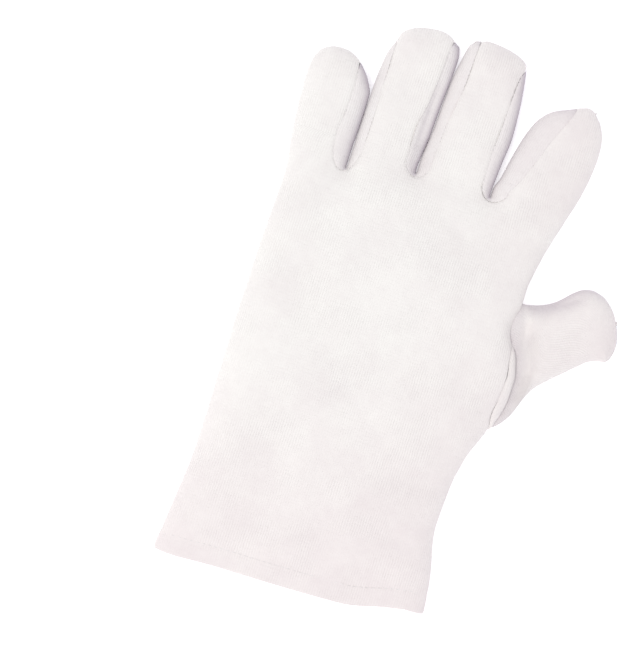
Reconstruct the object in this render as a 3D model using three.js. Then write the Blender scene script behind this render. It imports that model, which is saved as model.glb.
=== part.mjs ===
// Cotton work glove, left hand, lying on its palm with its back up.
// Millimetres. X runs to the thumb side, Y from the hem to the fingertips, Z up from the surface it lies on.
// Each cloth piece is a sheet with its own wall: an outer grid, the same grid set in by the wall, and a rim.

import * as THREE from 'three';

// Driving sizes
const palmLength = 184; // hem to the crotches of the fingers
const palmWidth = 115;
const palmThickness = 17; // back and palm layers together, lying
const cuffThickness = 13;
const fingerThickness = 13;
const littleLength = 41; // finger lengths run from the crotches to the tip
const ringLength = 61;
const middleLength = 63;
const indexLength = 49;
const thumbReach = 43.5; // from the palm's edge out to the tip of the thumb
const thumbThickness = 12.5;
const thumbNeckThickness = 7.6; // where the thumb passes under the side seam
const clothWall = 1.2;
const seamGap = 0.3; // clearance between neighbouring pieces
const crotchSeam = 1.8; // seam below the bottom of the slot
const palmSeamInset = 2.6; // seams of the palm side, in from the edge
const hemDepth = 10;
const hemWall = 1;
const hemStep = 1; // the palm layer's hem shows this far beyond the back layer's

// Shares and counts
const edgeHeight = 0.47; // height of the outermost line, as a share of the thickness
const roundness = 2.2; // exponent of the rounded edge, 2 is an ellipse
const underRound = 7 / 17; // width of the rounded edge below, as a share of the palm's thickness
const shoulderAngle = 50; // degrees round the edge at which a panel starts to roll over
const underAngle = 85; // the same on the palm side
const sideSeamAngle = -50; // the side seam lies under the edge
const seamAngleGap = 1.3; // degrees round the edge that make half a seam's clearance
const holeLow = 0.478; // thumb hole, shares of the palm's length
const holeHigh = 0.8;
const holeInset = 0.432; // inner side of the thumb hole, share of the palm's width
const holeLead = 0.1; // the palm's columns draw in to the hole over this share of its length
const fingerStart = 1.022; // the finger strips begin here, share of the palm's length
const slotCorner = 0.35; // how square the bottom of a slot is, 1 is pointed
const hemBlend = 4; // the slant of the hem dies out over this many hem depths
const tipRound = 0.72; // length of a fingertip's rounding, share of the palm's thickness
const rollStart = 0.6; // a rolled side begins to come out to its corner this far up the finger
const thumbRound = 0.85; // width of the thumb's rounded edge, share of its thickness
const thumbCap = 0.16; // how far the thumb's end bulges, share of its width

// Outline of the palm. at: share of the palm's length; left, right: shares of its width.
// seam: degrees round the right edge where the side seam runs, up over the thumb.
const palmRows = [
  { at: 0.0, left: -0.53, right: 0.506, seam: -50 },
  { at: 0.11, left: -0.512, right: 0.484, seam: -50 },
  { at: 0.24, left: -0.498, right: 0.443, seam: -50 },
  { at: 0.33, left: -0.498, right: 0.448, seam: -50 },
  { at: 0.41, left: -0.5, right: 0.47, seam: -48 },
  { at: 0.455, left: -0.501, right: 0.496, seam: 0 },
  { at: 0.49, left: -0.502, right: 0.518, seam: 30 },
  { at: 0.55, left: -0.503, right: 0.544, seam: 38 },
  { at: 0.61, left: -0.503, right: 0.548, seam: 38 },
  { at: 0.66, left: -0.503, right: 0.53, seam: 33 },
  { at: 0.71, left: -0.503, right: 0.492, seam: 24 },
  { at: 0.76, left: -0.502, right: 0.487, seam: 22 },
  { at: 0.8, left: -0.5, right: 0.494, seam: 20 },
  { at: 0.85, left: -0.497, right: 0.501, seam: -40 },
  { at: 0.9, left: -0.496, right: 0.511, seam: -50 },
  { at: 1.0, left: -0.517, right: 0.551, seam: -50 },
];

// Thickness and edge round along the palm. round: width of the rounded edge as a share of the palm's thickness.
const thicknessRows = [
  { at: 0.0, cuff: 1, palm: 0, finger: 0, round: 0.85 },
  { at: 0.12, cuff: 0.7, palm: 0.3, finger: 0, round: 0.95 },
  { at: 0.4, cuff: 0, palm: 1, finger: 0, round: 1.3 },
  { at: 0.75, cuff: 0, palm: 1, finger: 0, round: 1.3 },
  { at: 0.9, cuff: 0, palm: 0.55, finger: 0.45, round: 1.0 },
  { at: 1.02, cuff: 0, palm: 0, finger: 1, round: 0.72 },
];

// Hem line of the back layer. x: share of the palm's width; drop: share of the hem's depth.
const hemLine = [
  { x: -0.45, drop: -0.05 },
  { x: -0.1, drop: -0.13 },
  { x: 0.19, drop: 0.0 },
  { x: 0.36, drop: 0.46 },
  { x: 0.42, drop: 0.6 },
];

// Fingers. at: share of the finger's length above the crotches; edge and seam: shares of the palm's width.
// The last row of a side is the corner where its seam meets the tip.
const fingers = [
  {
    name: 'little', length: littleLength, apex: -0.426, rollsLeft: true, rollsRight: false, slanted: [],
    left: [
      { at: 0.0, edge: -0.517 },
      { at: 0.39, edge: -0.53 },
      { at: 0.66, edge: -0.534 },
      { at: 0.82, edge: -0.527 },
      { at: 0.915, edge: -0.509 },
    ],
    right: [
      { at: 0.0, edge: -0.289, seam: -0.35 },
      { at: 0.15, edge: -0.287, seam: -0.3565 },
      { at: 0.39, edge: -0.285, seam: -0.348 },
      { at: 0.61, edge: -0.289, seam: -0.347 },
      { at: 0.78, edge: -0.311, seam: -0.349 },
      { at: 0.92, edge: -0.354, seam: -0.354 },
    ],
  },
  {
    name: 'ring', length: ringLength, apex: -0.104, rollsLeft: false, rollsRight: false, slanted: [],
    left: [
      { at: 0.0, edge: -0.2785, seam: -0.248 },
      { at: 0.26, edge: -0.28, seam: -0.248 },
      { at: 0.51, edge: -0.28, seam: -0.25 },
      { at: 0.72, edge: -0.273, seam: -0.252 },
      { at: 0.86, edge: -0.248, seam: -0.248 },
    ],
    right: [
      { at: 0.0, edge: -0.04, seam: -0.08 },
      { at: 0.26, edge: -0.0285, seam: -0.0826 },
      { at: 0.51, edge: -0.0235, seam: -0.066 },
      { at: 0.72, edge: -0.0205, seam: -0.0565 },
      { at: 0.84, edge: -0.0165, seam: -0.053 },
      { at: 0.91, edge: -0.0195, seam: -0.05 },
      { at: 0.955, edge: -0.0425, seam: -0.0425 },
    ],
  },
  {
    name: 'middle', length: middleLength, apex: 0.072, rollsLeft: false, rollsRight: false, slanted: ['left'],
    left: [
      { at: 0.0, edge: -0.028, seam: 0.009 },
      { at: 0.33, edge: -0.0145, seam: 0.0175 },
      { at: 0.49, edge: -0.011, seam: 0.03 },
      { at: 0.7, edge: -0.002, seam: 0.039 },
      { at: 0.83, edge: 0.006, seam: 0.041 },
      { at: 0.92, edge: 0.008, seam: 0.043 },
      { at: 0.965, edge: 0.022, seam: 0.0455 },
      { at: 0.985, edge: 0.049, seam: 0.049 },
    ],
    right: [
      { at: 0.0, edge: 0.2535, seam: 0.217 },
      { at: 0.25, edge: 0.262, seam: 0.213 },
      { at: 0.41, edge: 0.269, seam: 0.217 },
      { at: 0.65, edge: 0.259, seam: 0.222 },
      { at: 0.8, edge: 0.245, seam: 0.227 },
      { at: 0.895, edge: 0.233, seam: 0.233 },
    ],
  },
  {
    name: 'index', length: indexLength, apex: 0.503, rollsLeft: false, rollsRight: true,
    slanted: ['left', 'right'],
    left: [
      { at: 0.0, edge: 0.265, seam: 0.296 },
      { at: 0.18, edge: 0.275, seam: 0.339 },
      { at: 0.33, edge: 0.284, seam: 0.365 },
      { at: 0.57, edge: 0.306, seam: 0.4 },
      { at: 0.735, edge: 0.331, seam: 0.429 },
      { at: 0.86, edge: 0.373, seam: 0.452 },
      { at: 0.96, edge: 0.463, seam: 0.463 },
    ],
    right: [
      { at: 0.0, edge: 0.551 },
      { at: 0.22, edge: 0.576 },
      { at: 0.43, edge: 0.588 },
      { at: 0.6, edge: 0.59 },
      { at: 0.74, edge: 0.581 },
      { at: 0.85, edge: 0.561 },
      { at: 0.93, edge: 0.529 },
    ],
  },
];

// Bottom of the slot between two fingers, share of the palm's length
const crotches = [
  { name: 'fourchette_little_ring', at: 0.962 },
  { name: 'fourchette_ring_middle', at: 1.0 },
  { name: 'fourchette_middle_index', at: 1.0 },
];

// Thumb. Each row joins a point of the lower edge to one of the upper edge.
// out: share of the thumb's reach from the palm's edge line; up: share of the palm's length.
const thumbRows = [
  { lowOut: 0.03, lowUp: 0.4875, highOut: 0.02, highUp: 0.789, thick: 0 },
  { lowOut: 0.16, lowUp: 0.521, highOut: 0.13, highUp: 0.7945, thick: 0.1 },
  { lowOut: 0.26, lowUp: 0.567, highOut: 0.23, highUp: 0.804, thick: 0.5 },
  { lowOut: 0.36, lowUp: 0.611, highOut: 0.31, highUp: 0.8165, thick: 0.85 },
  { lowOut: 0.475, lowUp: 0.64, highOut: 0.38, highUp: 0.832, thick: 1 },
  { lowOut: 0.59, lowUp: 0.6655, highOut: 0.45, highUp: 0.848, thick: 1 },
  { lowOut: 0.695, lowUp: 0.692, highOut: 0.53, highUp: 0.8615, thick: 1 },
  { lowOut: 0.79, lowUp: 0.712, highOut: 0.625, highUp: 0.867, thick: 0.96 },
  { lowOut: 0.88, lowUp: 0.7205, highOut: 0.73, highUp: 0.8615, thick: 0.9 },
  { lowOut: 0.94, lowUp: 0.7235, highOut: 0.82, highUp: 0.8475, thick: 0.85 },
  { lowOut: 0.98, lowUp: 0.732, highOut: 0.895, highUp: 0.828, thick: 0.8 },
  { lowOut: 1.0, lowUp: 0.746, highOut: 0.945, highUp: 0.807, thick: 0.8 },
];
const thumbLine = 0.494; // the palm's edge line that the thumb's reach starts from, share of the palm's width
const lipCover = 3.2; // how far the palm's rolled edge reaches over the start of the thumb's upper layer

// Soft folds in the back. x: share of the palm's width; y: share of its length; both ends of the fold.
const folds = [
  { x0: 0.1, y0: 0.3, x1: 0.44, y1: 0.33, width: 0.045, depth: 0.09 },
  { x0: 0.22, y0: 0.2, x1: 0.43, y1: 0.165, width: 0.04, depth: 0.07 },
  { x0: 0.08, y0: 0.93, x1: 0.27, y1: 0.87, width: 0.03, depth: 0.05 },
];

// Grid steps
const rowsBelowHole = 7;
const rowsInHole = 7;
const rowsAboveHole = 5;
const rowsOfFinger = 4;
const rowsOfTip = 4;
const backStripSteps = 4;
const palmStripSteps = 3;
const webSteps = 6;
const rollSteps = 5;
const fourchetteTopSteps = 3;
const fourchetteUnderSteps = 2;
const thumbSteps = 8;
const tuckRows = 4; // rows over which the thumb's upper layer comes back over its lower one

const degrees = Math.PI / 180;
const steep = 1e6; // slope of the skin on the edge line itself
const lerp = THREE.MathUtils.lerp;
const clamp = THREE.MathUtils.clamp;
const startLine = palmLength * fingerStart;
const holeBottom = palmLength * holeLow;
const holeTop = palmLength * holeHigh;

// Value of a column at a place along a table, on a smooth curve through its rows
function along(rows, column, at, key = 'at') {
  const last = rows.length - 1;
  if (at <= rows[0][key]) return rows[0][column];
  if (at >= rows[last][key]) return rows[last][column];
  let i = 0;
  while (at > rows[i + 1][key]) i += 1;
  const slope = (a, b) => (rows[b][column] - rows[a][column]) / (rows[b][key] - rows[a][key]);
  const chord = slope(i, i + 1);
  const before = i > 0 ? slope(i - 1, i) : chord;
  const after = i + 2 <= last ? slope(i + 1, i + 2) : chord;
  const tangent = (a, b) => (a * b <= 0 ? 0 : (2 * a * b) / (a + b));
  const span = rows[i + 1][key] - rows[i][key];
  const t = (at - rows[i][key]) / span;
  const m0 = tangent(before, chord) * span;
  const m1 = tangent(chord, after) * span;
  const p0 = rows[i][column];
  const p1 = rows[i + 1][column];
  return (2 * t ** 3 - 3 * t ** 2 + 1) * p0 + (t ** 3 - 2 * t ** 2 + t) * m0
    + (-2 * t ** 3 + 3 * t ** 2) * p1 + (t ** 3 - t ** 2) * m1;
}

// The rounded edge: how far in from the edge, and how high, an angle round it lies
const edgeIn = (angle, width) => width * (1 - Math.cos(Math.abs(angle) * degrees) ** (2 / roundness));
const riseAt = (inset, width) => {
  const c = clamp(1 - inset / width, 0, 1);
  return (1 - c ** roundness) ** (1 / roundness);
};
const slopeAt = (inset, width) => {
  const c = clamp(1 - inset / width, 0, 1);
  return (c ** (roundness - 1) * Math.max(1 - c ** roundness, 1e-9) ** (1 / roundness - 1)) / width;
};

function thicknessAt(y) {
  const at = y / palmLength;
  return cuffThickness * along(thicknessRows, 'cuff', at) + palmThickness * along(thicknessRows, 'palm', at)
    + fingerThickness * along(thicknessRows, 'finger', at);
}
const roundAt = (y) => palmThickness * along(thicknessRows, 'round', y / palmLength);
const underWidth = palmThickness * underRound;

const sideColumn = (finger, side, column, y) =>
  palmWidth * along(finger[side], column, (y - palmLength) / finger.length);
const sideFinger = (side) => (side === 'left' ? fingers[0] : fingers[fingers.length - 1]);
const toCentre = (side) => (side === 'left' ? 1 : -1);

// Outermost line of the glove at one side, up the palm and on along the finger there
function gloveEdge(side, y) {
  if (y > palmLength) return sideColumn(sideFinger(side), side, 'edge', y);
  return palmWidth * along(palmRows, side, y / palmLength);
}
const cornerY = (finger, side) => palmLength + finger.length * finger[side][finger[side].length - 1].at;
const cornerX = (finger, side) => palmWidth * finger[side][finger[side].length - 1].edge;

// Top of a finger between its two corners: a curve each side of the apex, a quarter ellipse,
// or a parabola where the side comes in on a slant
function tipHeight(finger, x) {
  const apex = palmWidth * finger.apex;
  const side = x < apex ? 'left' : 'right';
  const corner = cornerY(finger, side);
  const reach = (x - apex) / (cornerX(finger, side) - apex);
  const power = finger.slanted.includes(side) ? 1 : 0.5;
  return corner + (palmLength + finger.length - corner) * Math.max(1 - reach ** 2, 0) ** power;
}

// Slot between two fingers: left and right edges and the bottom
function slotOf(index) {
  const left = sideColumn(fingers[index], 'right', 'edge', startLine);
  const right = sideColumn(fingers[index + 1], 'left', 'edge', startLine);
  return { left, right, middle: (left + right) / 2, bottom: palmLength * crotches[index].at };
}

// Point of the slot's edge; turn runs from 0 at its left side to 1 at its right
function slotEdge(index, turn) {
  const slot = slotOf(index);
  const c = -Math.cos(turn * Math.PI);
  const half = (slot.right - slot.left) / 2;
  const x = slot.middle + half * Math.sign(c) * Math.abs(c) ** slotCorner;
  return new THREE.Vector2(x, startLine - (startLine - slot.bottom) * Math.sin(turn * Math.PI));
}

// Outline of the whole glove without the thumb, open at the hem
function makeOutline() {
  const points = [];
  const palmSteps = 24;
  const sideSteps = 10;
  const lift = (i, n) => (startLine * i) / n;
  const sidePoint = (side, y) => new THREE.Vector2(gloveEdge(side, y), y);
  points.push(new THREE.Vector2(gloveEdge('left', 0), -hemBlend * hemDepth));
  for (let i = 0; i < palmSteps; i += 1) points.push(sidePoint('left', lift(i, palmSteps)));
  fingers.forEach((finger, index) => {
    const climb = (side, i) => lerp(startLine, cornerY(finger, side), i / sideSteps);
    for (let i = 0; i <= sideSteps; i += 1) {
      points.push(new THREE.Vector2(sideColumn(finger, 'left', 'edge', climb('left', i)), climb('left', i)));
    }
    for (let i = 1; i < sideSteps; i += 1) {
      const across = (1 - Math.cos((i / sideSteps) * Math.PI)) / 2;
      const x = lerp(cornerX(finger, 'left'), cornerX(finger, 'right'), across);
      points.push(new THREE.Vector2(x, tipHeight(finger, x)));
    }
    for (let i = sideSteps; i >= 0; i -= 1) {
      points.push(new THREE.Vector2(sideColumn(finger, 'right', 'edge', climb('right', i)), climb('right', i)));
    }
    if (index < crotches.length) {
      for (let i = 1; i < 2 * webSteps; i += 1) points.push(slotEdge(index, i / (2 * webSteps)));
    }
  });
  for (let i = palmSteps - 1; i >= 0; i -= 1) points.push(sidePoint('right', lift(i, palmSteps)));
  points.push(new THREE.Vector2(gloveEdge('right', 0), -hemBlend * hemDepth));
  return points;
}

// Distance from a point to an outline, with the direction straight in from it. On the outline itself
// the direction is the mean over the stretches that meet there.
function insetFrom(outline, x, y) {
  const reach = 1;
  let best = Infinity;
  const near = [];
  for (let i = 0; i + 1 < outline.length; i += 1) {
    const a = outline[i];
    const b = outline[i + 1];
    const dx = b.x - a.x;
    const dy = b.y - a.y;
    const length = Math.hypot(dx, dy);
    if (length < 1e-6) continue;
    const t = clamp(((x - a.x) * dx + (y - a.y) * dy) / (length * length), 0, 1);
    const offX = x - a.x - t * dx;
    const offY = y - a.y - t * dy;
    const distance = Math.hypot(offX, offY);
    best = Math.min(best, distance);
    near.push({ distance, offX, offY, normalX: dy / length, normalY: -dx / length });
  }
  const inward = new THREE.Vector2(0, 0);
  for (const item of near) {
    const weight = Math.max(0, 1 - (item.distance - best) / reach) ** 2;
    if (weight === 0) continue;
    const far = clamp(item.distance / reach, 0, 1);
    const scale = far / Math.max(item.distance, 1e-9);
    inward.x += weight * (item.offX * scale + item.normalX * (1 - far));
    inward.y += weight * (item.offY * scale + item.normalY * (1 - far));
  }
  return { inset: best, inward: inward.normalize() };
}

function foldDepth(x, y) {
  let depth = 0;
  for (const fold of folds) {
    const ax = fold.x0 * palmWidth;
    const ay = fold.y0 * palmLength;
    const dx = fold.x1 * palmWidth - ax;
    const dy = fold.y1 * palmLength - ay;
    const t = clamp(((x - ax) * dx + (y - ay) * dy) / (dx * dx + dy * dy), 0, 1);
    const off = Math.hypot(x - ax - t * dx, y - ay - t * dy) / (fold.width * palmWidth);
    depth += fold.depth * palmThickness * Math.exp(-off * off) * Math.sin(Math.PI * clamp(t, 0.12, 0.88));
  }
  return depth;
}

const outline = makeOutline();

// Point and outward normal of the glove's outer skin. side is 1 on the back and -1 on the palm.
// edge: for a point on the edge line itself, the direction straight in from it.
function skin(x, y, side, known) {
  const found = known ?? insetFrom(outline, x, y);
  const thickness = thicknessAt(y);
  const middle = thickness * edgeHeight;
  const width = side > 0 ? roundAt(y) : underWidth;
  const height = side > 0 ? thickness - middle : middle;
  const inset = Math.max(found.inset, edgeIn(seamAngleGap, width));
  const rise = riseAt(inset, width) * height;
  const tilt = slopeAt(inset, width) * height;
  const dent = side > 0 ? foldDepth(x, y) * clamp(found.inset / width, 0, 1) : 0;
  const point = new THREE.Vector3(x, y, middle + side * rise - dent);
  const normal = new THREE.Vector3(-found.inward.x * tilt, -found.inward.y * tilt, side).normalize();
  return { point, normal };
}

// Point of a panel where it rolls over the glove's side, an angle round the edge.
// layer is the side of the glove that the angle lies on, so both panels share one surface.
function rollPoint(side, y, angle) {
  const layer = angle > 0 ? 1 : -1;
  const width = layer > 0 ? roundAt(y) : underWidth;
  const start = layer > 0 ? shoulderAngle : underAngle;
  const edge = gloveEdge(side, y);
  const slope = gloveEdge(side, y + 0.5) - gloveEdge(side, y - 0.5);
  const inward = new THREE.Vector2(toCentre(side), -slope * toCentre(side)).normalize();
  const shoulder = shoulderLine(side, layer, y);
  const share = edgeIn(angle, width) / edgeIn(start, width);
  const deep = insetFrom(outline, shoulder, y).inset;
  return skin(lerp(edge, shoulder, share), y, layer, { inset: deep * share, inward });
}

// Rows up the palm, with some set on the thumb hole's ends
function palmHeights() {
  const heights = [];
  for (let i = 0; i < rowsBelowHole; i += 1) heights.push(lerp(0, holeBottom, i / rowsBelowHole));
  for (let i = 0; i < rowsInHole; i += 1) heights.push(lerp(holeBottom, holeTop, i / rowsInHole));
  for (let i = 0; i <= rowsAboveHole; i += 1) heights.push(lerp(holeTop, startLine, i / rowsAboveHole));
  return heights;
}

// Shares of the way up a finger: even at first, closer together as the tip rounds over
function fingerShares(finger) {
  const shares = [];
  const tipShare = clamp((palmThickness * tipRound) / (palmLength + finger.length - startLine), 0.1, 0.6);
  for (let i = 1; i <= rowsOfFinger; i += 1) shares.push((1 - tipShare) * (i / rowsOfFinger));
  for (let i = 1; i <= rowsOfTip; i += 1) {
    shares.push(1 - tipShare * (1 - Math.sin((i / rowsOfTip) * 90 * degrees)));
  }
  return shares;
}

// How far up its last stretch a finger's side has come, 0 below it and 1 at the corner of the tip
function lateShare(finger, side, y) {
  const corner = cornerY(finger, side);
  const begin = lerp(startLine, corner, rollStart);
  return clamp((y - begin) / (corner - begin), 0, 1);
}

// Line where a panel begins to roll over the glove's side. It comes out to the edge at the tip.
function shoulderLine(side, layer, y) {
  const edge = gloveEdge(side, y);
  const width = layer > 0 ? edgeIn(shoulderAngle, roundAt(y)) : edgeIn(underAngle, underWidth);
  return edge + toCentre(side) * width * Math.sqrt(1 - lateShare(sideFinger(side), side, y) ** 2);
}

// Line on one layer where a finger's strip ends: a seam, or the shoulder of a rolled side.
// away: how far the line is moved off the seam, towards the middle of the strip.
function stripLimit(finger, side, layer, y, away = 0) {
  const rolls = side === 'left' ? finger.rollsLeft : finger.rollsRight;
  if (rolls) return shoulderLine(side, layer, y);
  const fade = Math.sqrt(clamp((cornerY(finger, side) - y) / palmSeamInset / 3, 0, 1));
  const seam = layer > 0
    ? sideColumn(finger, side, 'seam', y)
    : sideColumn(finger, side, 'edge', y) + toCentre(side) * palmSeamInset * fade;
  return seam + toCentre(side) * away;
}

// Seam below a slot, as a half ellipse from one strip to the next
function webPoint(index, layer, turn, away = 0) {
  const left = stripLimit(fingers[index], 'right', layer, startLine, away);
  const right = stripLimit(fingers[index + 1], 'left', layer, startLine, away);
  const drop = (layer > 0 ? crotchSeam : palmSeamInset) + away;
  const depth = startLine - slotOf(index).bottom + drop;
  return new THREE.Vector2(
    lerp(left, right, (1 - Math.cos(turn * Math.PI)) / 2),
    startLine - depth * Math.sin(turn * Math.PI),
  );
}

// Columns across a panel at the line where the fingers begin
function startColumns(layer) {
  const columns = [];
  const steps = layer > 0 ? backStripSteps : palmStripSteps;
  fingers.forEach((finger, index) => {
    const left = stripLimit(finger, 'left', layer, startLine, seamGap / 2);
    const right = stripLimit(finger, 'right', layer, startLine, seamGap / 2);
    for (let i = 0; i <= steps; i += 1) {
      columns.push({ finger: index, share: i / steps, x: lerp(left, right, i / steps), y: startLine });
    }
    if (index < crotches.length) {
      for (let i = 1; i < webSteps; i += 1) {
        const point = webPoint(index, layer, i / webSteps, seamGap / 2);
        columns.push({ finger: -1, share: i / webSteps, x: point.x, y: point.y });
      }
    }
  });
  return columns;
}

const hemDrop = (x) => hemDepth * along(hemLine, 'drop', x / palmWidth, 'x');
const smooth = (t) => THREE.MathUtils.smoothstep(t, 0, 1);

// Where the panel's flat part ends at the left and right sides of the palm
function palmLimit(side, layer, y) {
  const plain = shoulderLine(side, layer, y);
  if (side === 'left' || layer > 0) return plain;
  const lead = holeLead * palmLength;
  const near = smooth((y - holeBottom + lead) / lead) * smooth((holeTop + lead - y) / lead);
  return lerp(plain, Math.min(plain, holeInset * palmWidth), near);
}

// Plan of a panel: for every column and row its place in the plane, or null where there is no cloth
function panelPlan(layer) {
  const columns = startColumns(layer);
  const heights = palmHeights();
  const left = columns[0].x;
  const right = columns[columns.length - 1].x;
  const rows = [];
  for (const height of heights) {
    const spread = smooth(height / startLine);
    const dip = smooth((height - holeTop) / (startLine - holeTop));
    const hem = Math.max(0, 1 - height / (hemBlend * hemDepth));
    rows.push(columns.map((column, i) => {
      const even = i / (columns.length - 1);
      const top = (column.x - left) / (right - left);
      const share = lerp(even, top, spread);
      const x = lerp(palmLimit('left', layer, height), palmLimit('right', layer, height), share);
      const step = layer < 0 ? hemStep * (1 - Math.abs(2 * share - 1) ** 4) : 0;
      return { x, y: height - (startLine - column.y) * dip + (hemDrop(x) - step) * hem };
    }));
  }
  for (let j = 0; j < rowsOfFinger + rowsOfTip; j += 1) {
    rows.push(columns.map((column) => {
      if (column.finger < 0) return null;
      const finger = fingers[column.finger];
      const share = fingerShares(finger)[j];
      const leftY = lerp(startLine, cornerY(finger, 'left'), share);
      const rightY = lerp(startLine, cornerY(finger, 'right'), share);
      const leftX = stripLimit(finger, 'left', layer, leftY, seamGap / 2);
      const rightX = stripLimit(finger, 'right', layer, rightY, seamGap / 2);
      const x = lerp(leftX, rightX, column.share);
      const tipX = lerp(cornerX(finger, 'left'), cornerX(finger, 'right'), column.share);
      return { x, y: lerp(startLine, tipHeight(finger, tipX), share) };
    }));
  }
  return { columns, rows, heights };
}

// Angle round the edge of the side seam
function seamAngle(side, y) {
  const plain = side === 'left' ? sideSeamAngle : along(palmRows, 'seam', y / palmLength);
  return lerp(plain, 0, lateShare(sideFinger(side), side, y));
}

// Closed sheet of cloth from a grid of points with their outward normals: two skins, set in by outer and
// inner, and a rim round every border. A null point, or a cell for which open says so, has no cloth.
// ring joins the last column to the first; zipped leaves the last row without a rim, as its points meet.
function sheet(grid, options) {
  const { outer = 0, inner = clothWall, flip = false, open = () => false, ring = false, zipped = false } = options;
  const vertices = [];
  const numbers = new Map();
  const number = (i, j, depth) => {
    const { point, normal } = grid[j][i];
    const p = point.clone().addScaledVector(normal, -depth);
    const key = `${p.x.toFixed(3)} ${p.y.toFixed(3)} ${p.z.toFixed(3)}`;
    if (!numbers.has(key)) {
      numbers.set(key, vertices.length / 3);
      vertices.push(p.x, p.y, p.z);
    }
    return numbers.get(key);
  };
  const triangles = [];
  const face = (a, b, c) => {
    if (a === b || b === c || a === c) return;
    triangles.push(...(flip ? [a, c, b] : [a, b, c]));
  };
  const count = grid[0].length;
  const lastColumn = ring ? count : count - 1;
  const hasCloth = (i, j) => {
    if (j < 0 || j >= grid.length - 1) return false;
    if (!ring && (i < 0 || i >= lastColumn)) return false;
    const a = (i + count) % count;
    const b = (a + 1) % count;
    return Boolean(grid[j][a] && grid[j][b] && grid[j + 1][a] && grid[j + 1][b]) && !open(a, j);
  };
  const rim = (i0, j0, i1, j1) => {
    const a = number(i0, j0, outer);
    const b = number(i1, j1, outer);
    const c = number(i1, j1, inner);
    const d = number(i0, j0, inner);
    face(a, d, b);
    face(b, d, c);
  };
  for (let j = 0; j < grid.length - 1; j += 1) {
    for (let i = 0; i < lastColumn; i += 1) {
      if (!hasCloth(i, j)) continue;
      const k = (i + 1) % count;
      const corners = [[i, j], [k, j], [k, j + 1], [i, j + 1]];
      const quad = (depth) => corners.map(([across, up]) => number(across, up, depth));
      const [a, b, c, d] = quad(outer);
      face(a, b, c);
      face(a, c, d);
      const [e, f, g, h] = quad(inner);
      face(e, g, f);
      face(e, h, g);
      if (!hasCloth(i, j - 1)) rim(i, j, k, j);
      if (!hasCloth(i, j + 1) && !(zipped && j === grid.length - 2)) rim(k, j + 1, i, j + 1);
      if (!hasCloth(i - 1, j)) rim(i, j + 1, i, j);
      if (!hasCloth(i + 1, j)) rim(k, j, k, j + 1);
    }
  }
  const geometry = new THREE.BufferGeometry();
  geometry.setAttribute('position', new THREE.BufferAttribute(new Float32Array(vertices), 3));
  geometry.setIndex(triangles);
  geometry.computeVertexNormals();
  return geometry;
}

// Grid of a whole panel: its flat part with a roll at the left and right sides
function panelGrid(layer) {
  const { rows } = panelPlan(layer);
  return rows.map((row) => {
    const rollOf = (side) => {
      const { y } = side === 'left' ? row[0] : row[row.length - 1];
      const start = layer > 0 ? shoulderAngle : -underAngle;
      const end = seamAngle(side, y) + layer * seamAngleGap;
      const points = [];
      for (let i = 1; i <= rollSteps; i += 1) {
        const share = layer > 0 ? i / rollSteps : Math.sin((i / rollSteps) * 90 * degrees) ** 0.9;
        points.push(rollPoint(side, y, lerp(start, end, share)));
      }
      return points;
    };
    const flat = row.map((place) => place && skin(place.x, place.y, layer));
    return [...rollOf('left').reverse(), ...flat, ...rollOf('right')];
  });
}

function panelGeometry(layer) {
  const grid = panelGrid(layer);
  const width = grid[0].length;
  const firstHoleRow = rowsBelowHole;
  const lastHoleRow = rowsBelowHole + rowsInHole;
  const holeStart = width - 1 - rollSteps;
  const holeEnd = holeStart + rollSteps - 2;
  const open = (i, j) => layer < 0 && j >= firstHoleRow && j < lastHoleRow && i >= holeStart && i < holeEnd;
  return sheet(grid, { flip: layer < 0, open });
}

// Side strip of two fingers: down one, round the crotch and up the other
function fourchetteGeometry(index) {
  const top = panelPlan(1);
  const under = panelPlan(-1);
  const column = (plan, finger, share) =>
    plan.columns.findIndex((item) => item.finger === finger && item.share === share);
  const first = top.heights.length - 1;
  const last = top.rows.length - 2;
  const stations = [];
  const climb = (side, j) => {
    const finger = side === 'right' ? index : index + 1;
    const share = side === 'right' ? 1 : 0;
    const t = top.rows[j][column(top, finger, share)];
    const b = under.rows[j][column(under, finger, share)];
    const across = -toCentre(side) * seamGap;
    stations.push({
      edge: new THREE.Vector2(sideColumn(fingers[finger], side, 'edge', t.y), t.y),
      top: new THREE.Vector2(t.x + across, t.y),
      under: new THREE.Vector2(b.x + across, b.y),
    });
  };
  for (let j = last; j >= first; j -= 1) climb('right', j);
  for (let i = 1; i < webSteps; i += 1) {
    const turn = i / webSteps;
    stations.push({
      edge: slotEdge(index, turn),
      top: webPoint(index, 1, turn, -seamGap / 2),
      under: webPoint(index, -1, turn, -seamGap / 2),
    });
  }
  for (let j = first; j <= last; j += 1) climb('left', j);
  const grid = stations.map((station) => {
    const row = [];
    const inward = station.top.clone().sub(station.edge).normalize();
    for (let i = 0; i < fourchetteUnderSteps; i += 1) {
      const share = (1 - i / fourchetteUnderSteps) ** 2;
      const p = station.edge.clone().lerp(station.under, share);
      row.push(skin(p.x, p.y, -1));
    }
    const middle = skin(station.edge.x, station.edge.y, 1, { inset: 0, inward });
    middle.point.z = thicknessAt(station.edge.y) * edgeHeight;
    middle.normal.set(-inward.x, -inward.y, 0);
    row.push(middle);
    for (let i = 1; i <= fourchetteTopSteps; i += 1) {
      const share = (i / fourchetteTopSteps) ** 2;
      const p = station.edge.clone().lerp(station.top, share);
      row.push(skin(p.x, p.y, 1));
    }
    return row;
  });
  return sheet(grid, {});
}

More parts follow.
